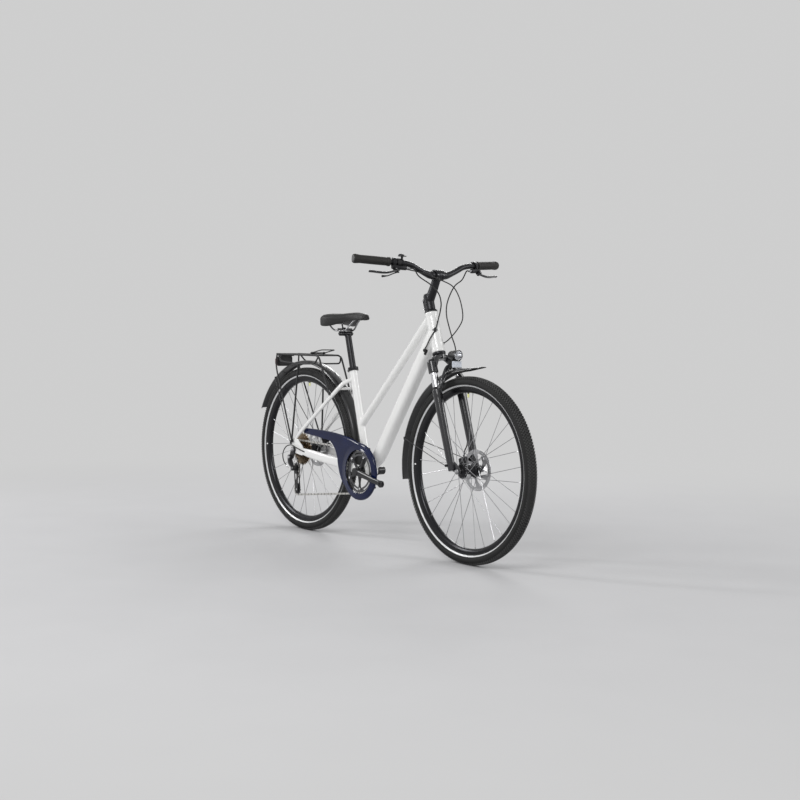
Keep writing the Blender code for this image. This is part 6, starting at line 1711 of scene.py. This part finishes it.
def derailleur_metal():
    """The hanger bolt, the parallelogram's pins, the stop screws and the cable adjuster."""
    outwards = Matrix.Rotation(pi, 4, "Z")
    shapes = [placed(bolt_head(0.0062, 0.0028, 0.003),
        Matrix.Translation(KNUCKLE - ACROSS * 0.0898) @ outwards)]
    for spot, reach in ((KNUCKLE + Vector((-0.013, 0, -0.004)), 0.088),
            (GUIDE + Vector((-0.008, 0, 0.009)), 0.074), (GUIDE + Vector((0.002, 0, 0.0)), 0.0708)):
        shapes.append(placed(bolt_head(0.0034, 0.0016, 0.0016),
            Matrix.Translation(spot - ACROSS * reach) @ outwards))
    adjuster = turned(mm((0, -4), (3, -4), (3, 4), (3.8, 4.5), (3.8, 11), (2.6, 12), (0, 12)),
        (-0.581, -0.079, 0.279), (-1, -0.1, 0.35), 20)
    return together(adjuster, *shapes)


put("derailleur_body", derailleur_body(), "bike", as_slot(SATIN_BLACK, "black_anodised"),
    "rear_derailleur", 60.0)
put("derailleur_metal", derailleur_metal(), "bike", HUB_ALLOY)
cage = [cage_plate(CHAIN_LINE - 0.0068, CHAIN_LINE - 0.0052), cage_plate(CHAIN_LINE + 0.0052,
    CHAIN_LINE + 0.0068)]
put("derailleur_cage_plates", together(*cage), "cage", as_slot(SATIN_BLACK, "black_anodised"),
    "derailleur_cage")
cage_pins = [pin(spot, CHAIN_LINE - 0.0074, CHAIN_LINE + 0.0072, 0.0033) for spot in (GUIDE, TENSION)]
put("derailleur_cage_pins", together(*cage_pins), "cage", HUB_ALLOY)
put("guide_wheel_toothed", pulley(GUIDE), "guide_wheel", PLASTIC, "guide_pulley")
put("tension_wheel_toothed", pulley(TENSION), "tension_wheel", PLASTIC, "tension_pulley")


# Chain
# Waisted outer plates, riveted over darker inner plates and rollers, laid link by link over the
# chainring, the fifth sprocket and the two derailleur wheels.
def chain_path():
    """Points a hair apart along the chain, each with the stretch that it lies on."""
    stops = [(BB, sprocket_radius(RING_TEETH)), (REAR, sprocket_radius(SPROCKETS[4])),
        (GUIDE, -sprocket_radius(11)), (TENSION, sprocket_radius(11))]
    runs = []
    for i, (centre, radius) in enumerate(stops):
        after, next_radius = stops[(i + 1) % 4]
        span = Vector((after.x - centre.x, after.z - centre.z))
        ahead = span.normalized()
        lean = asin((radius - next_radius) / span.length)
        travel = ahead * cos(lean) + Vector((-ahead.y, ahead.x)) * sin(lean)
        normal = Vector((-travel.y, travel.x))
        runs.append((Vector((centre.x, centre.z)) - normal * radius,
            Vector((after.x, after.z)) - normal * next_radius))
    path = []
    for i, (centre, radius) in enumerate(stops):
        middle = Vector((centre.x, centre.z))
        arrive, leave = runs[i - 1][1] - middle, runs[i][0] - middle
        first, last = atan2(arrive.y, arrive.x), atan2(leave.y, leave.x)
        turn = (last - first) % tau if radius > 0 else -((first - last) % tau)
        steps = max(4, round(abs(turn * radius) / 0.001))
        for k in range(steps):
            angle = first + turn * k / steps
            path.append((middle + Vector((cos(angle), sin(angle))) * abs(radius), 2 * i))
        steps = round((runs[i][1] - runs[i][0]).length / 0.001)
        path += [(runs[i][0].lerp(runs[i][1], k / steps), 2 * i + 1) for k in range(steps)]
    return path


def pins_along(path):
    """Pin places one pitch apart, as near as a whole number of link pairs allows."""
    lengths = [0.0]
    for (a, _), (b, _) in zip(path, path[1:] + path[:1]):
        lengths.append(lengths[-1] + (b - a).length)
    count = 2 * round(lengths[-1] / PITCH / 2)
    spots = []
    k = 0
    for i in range(count):
        goal = lengths[-1] * i / count
        while lengths[k + 1] < goal:
            k += 1
        share = (goal - lengths[k]) / (lengths[k + 1] - lengths[k])
        after = path[(k + 1) % len(path)][0]
        spots.append((path[k][0].lerp(after, share), path[k][1]))
    return spots


PLATE_WAIST = 0.72


def link_grower():
    """Copies of a link at bare points, each turned about Y by the point's own angle."""
    grower = Grower("links_on_points", {"Link": "Object", "Material": "Material"})
    start = grower.start.outputs
    link = grower.node("GeometryNodeObjectInfo", {}, {"Object": start["Link"]})
    angle = grower.node("GeometryNodeInputNamedAttribute", {"data_type": "FLOAT"}, {"Name": "turn"})
    turn = grower.node("ShaderNodeCombineXYZ", {}, {"Y": angle.outputs[0]})
    copies = grower.node("GeometryNodeInstanceOnPoints", {},
        {"Points": start["Geometry"], "Instance": link.outputs["Geometry"], "Rotation": turn.outputs[0]})
    grower.end(copies.outputs[0])
    return grower


LINKS = link_grower()
PINS = pins_along(chain_path())


def plate_pair(swell, near, far):
    """Two side plates of a link that lies along X, round at the pins and waisted between."""
    outline = []
    for side in (1, -1):
        outline += [(side * x, side * z) for x, z in arc(swell, radians(-105.0), radians(105.0), 7,
            PITCH / 2)]
        outline.append((0.0, side * swell * PLATE_WAIST))
    left = slab(outline, near, far)
    return together(left, flipped(left))


def pin_pair(profile):
    """The same turned piece at both pins of a link that lies along X."""
    return together(*[turned(profile, AHEAD * (side * PITCH / 2), steps=12) for side in (-1, 1)])


OUTER_LINK = together(plate_pair(0.0042, 0.0023, 0.003), pin_pair(mm((0, -3.4), (1.5, -3.4), (1.9, -3),
    (1.9, 3), (1.5, 3.4), (0, 3.4))))
INNER_LINK = together(plate_pair(0.0041, 0.0014, 0.0021), pin_pair(mm((0, -1.3), (3.8, -1.3),
    (3.8, 1.3), (0, 1.3))))


def links(shape, parity, zones, finish):
    """Every other link of the chain's stretches in zones."""
    places, turns = [], []
    for i, (start, zone) in enumerate(PINS):
        if zone in zones and i % 2 == parity:
            ahead = PINS[(i + 1) % len(PINS)][0] - start
            places.append((start.x + ahead.x / 2, CHAIN_LINE, start.y + ahead.y / 2))
            turns.append(-atan2(ahead.y, ahead.x))
    middles = bpy.data.meshes.new("link_middles")
    middles.from_pydata(places, [], [])
    middles.attributes.new("turn", "FLOAT", "POINT").data.foreach_set("value", turns)
    link = bpy.data.objects.new("link", shape)
    scene.collection.objects.link(link)
    made = LINKS.grow(middles, {"Link": link, "Material": finish[0]})
    bpy.data.objects.remove(link)
    return made


def first_in(zone):
    """Where the chain enters a zone."""
    spot = next(point for point, here in chain_path() if here == zone)
    return Vector((spot.x, CHAIN_LINE, spot.y))


CHAIN_STEEL = bright_metal("chain_steel", "chain_steel", (0.66, 0.65, 0.62), 0.22)
ROLLER_STEEL = bright_metal("roller_steel", "chain_steel", (0.26, 0.255, 0.25), 0.3)
for kind, shape, parity, finish in (("outer", OUTER_LINK, 0, CHAIN_STEEL),
        ("inner", INNER_LINK, 1, ROLLER_STEEL)):
    put("chain_upper_" + kind, links(shape, parity, (0, 1, 2, 3), finish), "bike", finish,
        "chain" if kind == "outer" else None, 30.0)
    put("chain_on_guide_" + kind, links(shape, parity, (4,), finish), ("bike", "cage"), finish,
        span=(first_in(4), first_in(5)))
    put("chain_in_cage_" + kind, links(shape, parity, (5, 6), finish), "cage", finish, None, 30.0)
    put("chain_lower_" + kind, links(shape, parity, (7,), finish), ("bike", "cage"), finish,
        span=(TENSION + AHEAD * 0.12, TENSION + AHEAD * 0.012))


# Chain case
# A see-through dark blue plastic guard: a ring round the chainring, a tail over the upper chain
# and a skirt that joins them, held by a black bracket behind the cup.
CASE_FACE, CASE_BACK, CASE_WALL = -0.055, -0.045, 0.0018
CASE_TAIL = mm((-60, 410.8, 20), (-85, 414.5, 30), (-188, 437.5, 34), (-297, 449, 37),
    (-400, 452.5, 30), (-495, 453, 22))
SKIRT = mm((-300, 413), (-275, 395), (-256, 372), (-244, 345), (-237, 315), (-227, 285), (-211, 255),
    (-190, 233))


def blue_smoke():
    """Dark blue see-through plastic, faintly clouded, with a polished face."""
    made, wire, shader = new_material("blue_smoke")
    cloud = wire.noise(12.0)
    link(cloud.blended((0.001, 0.003, 0.026), (0.003, 0.01, 0.062)), shader, "Base Color")
    link(0.07 + wire.noise(60.0) * 0.06, shader, "Roughness")
    link(0.965 + cloud * 0.03, shader, "Alpha")
    shader.inputs["Specular IOR Level"].default_value = 0.3
    shader.inputs["Coat Weight"].default_value = 0.15
    shader.inputs["Coat Roughness"].default_value = 0.03
    return made, "blue_smoke"


def case_ring():
    profile = mm((90, 0.6), (90.6, -0.2), (91.8, -0.6), (93, 0), (111.8, 0), (114.6, 0.8), (116.7, 2.6),
        (117.8, 5), (118, 10), (116.2, 10), (116, 5.6), (114.8, 3.6), (112.8, 2.2), (110, 1.8),
        (90, 1.8))
    ring = turned([(radius, CASE_FACE + y) for radius, y in profile], steps=120)
    exits = brick((-0.15, CASE_FACE + CASE_WALL + 0.0003, -0.13), (-0.0455, CASE_BACK + 0.002, 0.1055),
        0.0)
    return moved(bored(ring, exits), BB)


def case_tail():
    lip = mm((0.2, -6.4), (1, -3.4), (2.8, -1.2), (5.2, 0), (10, 0), (10, -1.8), (5.6, -1.8), (3.6, -3),
        (1.8, -5.6))
    rings = []
    for x, top, drop in eased(CASE_TAIL, 6):
        section_line = [(0.001, -drop), (0.0002, 0.001 - drop)] + lip + [(CASE_WALL, -drop)]
        rings.append([(x, CASE_FACE + y, top + z) for y, z in section_line])
    return skin(rings)


def case_skirt():
    inside = [polar(BB, 0.112, angle) for angle in range(215, 105, -6)]
    outline = [(p.x, p.y) for p in eased([(x, z, 0.0) for x, z in SKIRT], 4)]
    outline += [(p.x, p.z) for p in inside]
    outline += mm((-135, 418), (-188, 425), (-250, 428))
    return slab(outline, CASE_FACE + 0.0004, CASE_FACE + CASE_WALL - 0.0002)


def case_bracket():
    shapes = [turned(mm((21.2, -40.5), (27.5, -40.5), (27.5, -38.5), (21.2, -38.5)), BB, steps=48,
        soft=0.0004)]
    for degrees in (60.0, -30.0, -100.0):
        foot = BB + ACROSS * -0.0395
        heading = towards(radians(degrees), 1.0)
        shapes.append(tube([foot + heading * 0.025, foot + heading * 0.1165], mm((1.8, 14), (1.8, 10)),
            16, squareness=3.0))
        shapes.append(pin(BB + heading * 0.1145, -0.054, -0.0388, 0.003))
    return together(*shapes)


BLUE = blue_smoke()
put("chain_case_shell", together(case_ring(), case_tail(), case_skirt()), "bike", BLUE, "chain_case",
    30.0)
put("chain_case_bracket", case_bracket(), "bike", as_slot(SATIN_BLACK, "black_paint"))


# Hoses and cables
# Smooth black hoses and a cable from the controls: the rear brake's and the shifter's enter the
# down tube through rubber grommets, the front brake's follows the left leg.
PORTS = {"rear_brake": (Vector((0.306, -0.033, 0.808)), Vector((0.296, -0.015, 0.795))),
    "shift": (Vector((0.34, 0.033, 0.835)), Vector((0.318, 0.012, 0.822)))}
HOSE = 0.0025
CABLE = 0.00225
HOSE_RUBBER = moulded("hose_rubber", "black_rubber", (0.016, 0.016, 0.016), 0.38, 600.0, 0.00004)


def mirror_spot(point):
    return Vector((point.x, -point.y, point.z))


def grommet(mouth, bottom, hose):
    """A rubber lip round a hose where it goes into the tube."""
    out = (mouth - bottom).normalized()
    profile = [(hose + wall, h) for wall, h in mm((0, -9), (3, -9), (4.2, -4), (4.4, -1), (2.6, 2.8),
        (0, 3.4))]
    return turned(profile, mouth, out, 28)


nut = LEVER @ Vector((0.0252, 0, -0.024))
lead = LEVER @ Vector((0.0252, 0, -0.042))
mouth, bottom = PORTS["rear_brake"]
rear_line = [nut, lead] + mm((349, -100, 1090), (376, -62, 1058), (390, -36, 1026), (376, -11, 990),
    (356, 1, 956), (345, 1.5, 928), (349, -10.5, 898), (347.5, -21.4, 878), (336.3, -29, 856),
    (318.6, -30, 830)) + [mouth, mouth.lerp(bottom, 0.45)]
put("rear_brake_line", cord_tube(rear_line, HOSE, 12, 7), ("steerer", "bike"), HOSE_RUBBER,
    "rear_brake_hose", span=((0.376, -0.062, 1.058), (0.356, 0.001, 0.956)))
front_line = [mirror_spot(nut), mirror_spot(lead)] + mm((326, 135, 1085), (313, 110, 1061),
    (311, 85, 1021), (312, 70, 981), (320, 64, 942), (332, 66, 903), (345, 72, 860), (356, 83, 810))
front_line += [STEER @ Vector(p) for p in mm((-10, 86, -100), (-6, 83, -250), (-12, 68, -356),
    (-19, 52, -390), (-20, 45, -414.2))]
put("front_brake_line", cord_tube(front_line, HOSE, 12, 7), ("steerer", "lowers"), HOSE_RUBBER,
    "front_brake_hose", span=((0.311, 0.085, 1.021), (0.356, 0.083, 0.81)))
mouth, bottom = PORTS["shift"]
shift_line = [CONTROL @ Vector(p) for p in mm((-3, -23, -6.3), (-3, -23, -26))]
shift_line += mm((362, -80, 1100), (408, -30, 1074), (433, 0, 1052), (451, 15, 1014), (460, 25, 964),
    (453, 32, 926), (422, 36, 892), (385, 37, 862), (360, 36, 845)) + [mouth, mouth.lerp(bottom, 0.45)]
put("shift_line", cord_tube(shift_line, CABLE, 12, 7), ("steerer", "bike"), HOSE_RUBBER, "shift_cable",
    span=((0.408, -0.03, 1.074), (0.453, 0.032, 0.926)))
DOWN_TUBE_TOP = Vector(DOWN_TUBE[-1])
DOWN_ALONG = (DOWN_TUBE_TOP - Vector(DOWN_TUBE[-2])).normalized()
DOWN_FACE = Vector((DOWN_ALONG.z, 0.0, -DOWN_ALONG.x))
TUBE_HALF, TUBE_DEPTH, TUBE_SQUARENESS = 0.025, 0.028, 2.7


def port_plate(mouth, bottom):
    """A black oval plate on the down tube's wall, where a hose goes in."""
    for k in range(41):
        spot = mouth.lerp(bottom, k / 40)
        out = spot.y / TUBE_HALF
        face = (spot - DOWN_TUBE_TOP).dot(DOWN_FACE) / TUBE_DEPTH
        if abs(out) ** TUBE_SQUARENESS + face ** TUBE_SQUARENESS < 1.0:
            break
    slope = TUBE_SQUARENESS - 1.0
    normal = (ACROSS * (copysign(abs(out) ** slope, out) / TUBE_HALF) + DOWN_FACE
        * (face ** slope / TUBE_DEPTH)).normalized()
    outline = softened(mm((-12.5, -5), (12.5, -5), (12.5, 5), (-12.5, 5)), 0.0044, 5)
    return placed(slab(outline, -0.0014, 0.0014, bevel=0.0006), standing(spot, DOWN_ALONG, normal,
        DOWN_ALONG.cross(normal)))


put("port_grommets", together(*[grommet(*PORTS[key], hose)
    for key, hose in (("rear_brake", HOSE), ("shift", CABLE))]), "bike", RUBBER_SEAL)
put("port_plates", together(*[port_plate(*PORTS[key]) for key in PORTS]), "bike", PLASTIC)

GUIDE_SPOT = Vector((0.3483, -0.0158, 0.888))
guide_axis = HEAD_FOOT + HEAD_UP * (GUIDE_SPOT - HEAD_FOOT).dot(HEAD_UP)
guide_out = (GUIDE_SPOT - guide_axis).normalized()
guide_turn = AHEAD.rotation_difference(guide_out).to_matrix().to_4x4()
cable_guide = together(brick(*mm((-7.5, -5, -8.5), (4.2, 5, 8.5)), 0.0022, 3),
    brick(*mm((-7, -11, -4), (-3, 11, 4)), 0.0012))
put("head_tube_guide", placed(cable_guide, Matrix.Translation(GUIDE_SPOT) @ guide_turn), "bike",
    PLASTIC)
guide_screws = bolts_on(mm((-3.2, 8.5, 0), (-3.2, -8.5, 0)),
    ACROSS.rotation_difference(AHEAD).to_matrix().to_4x4(), 0.55)
put("head_tube_guide_screws", placed(guide_screws, Matrix.Translation(GUIDE_SPOT) @ guide_turn), "bike",
    STEEL)

union_tip = REAR_CALIPER_PLACE @ Vector((0.031, 0.053, 0.0))
rear_tail = [union_tip] + mm((-444, 53.5, 428), (-428, 56, 412), (-420.5, 59.5, 388),
    (-417.5, 62.5, 364), (-416.5, 63, 344))
put("rear_caliper_line", cord_tube(rear_tail, HOSE, 12, 8), "bike", HOSE_RUBBER)
shift_tail = mm((-456, -69, 350), (-470, -76, 354), (-505, -84, 366), (-544.5, -87, 376),
    (-588, -86, 366), (-616, -84, 334), (-613, -81.5, 302), (-592.5, -80, 283))
put("shift_tail_line", cord_tube(shift_tail, CABLE, 12, 8), "bike", HOSE_RUBBER)


low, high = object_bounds()
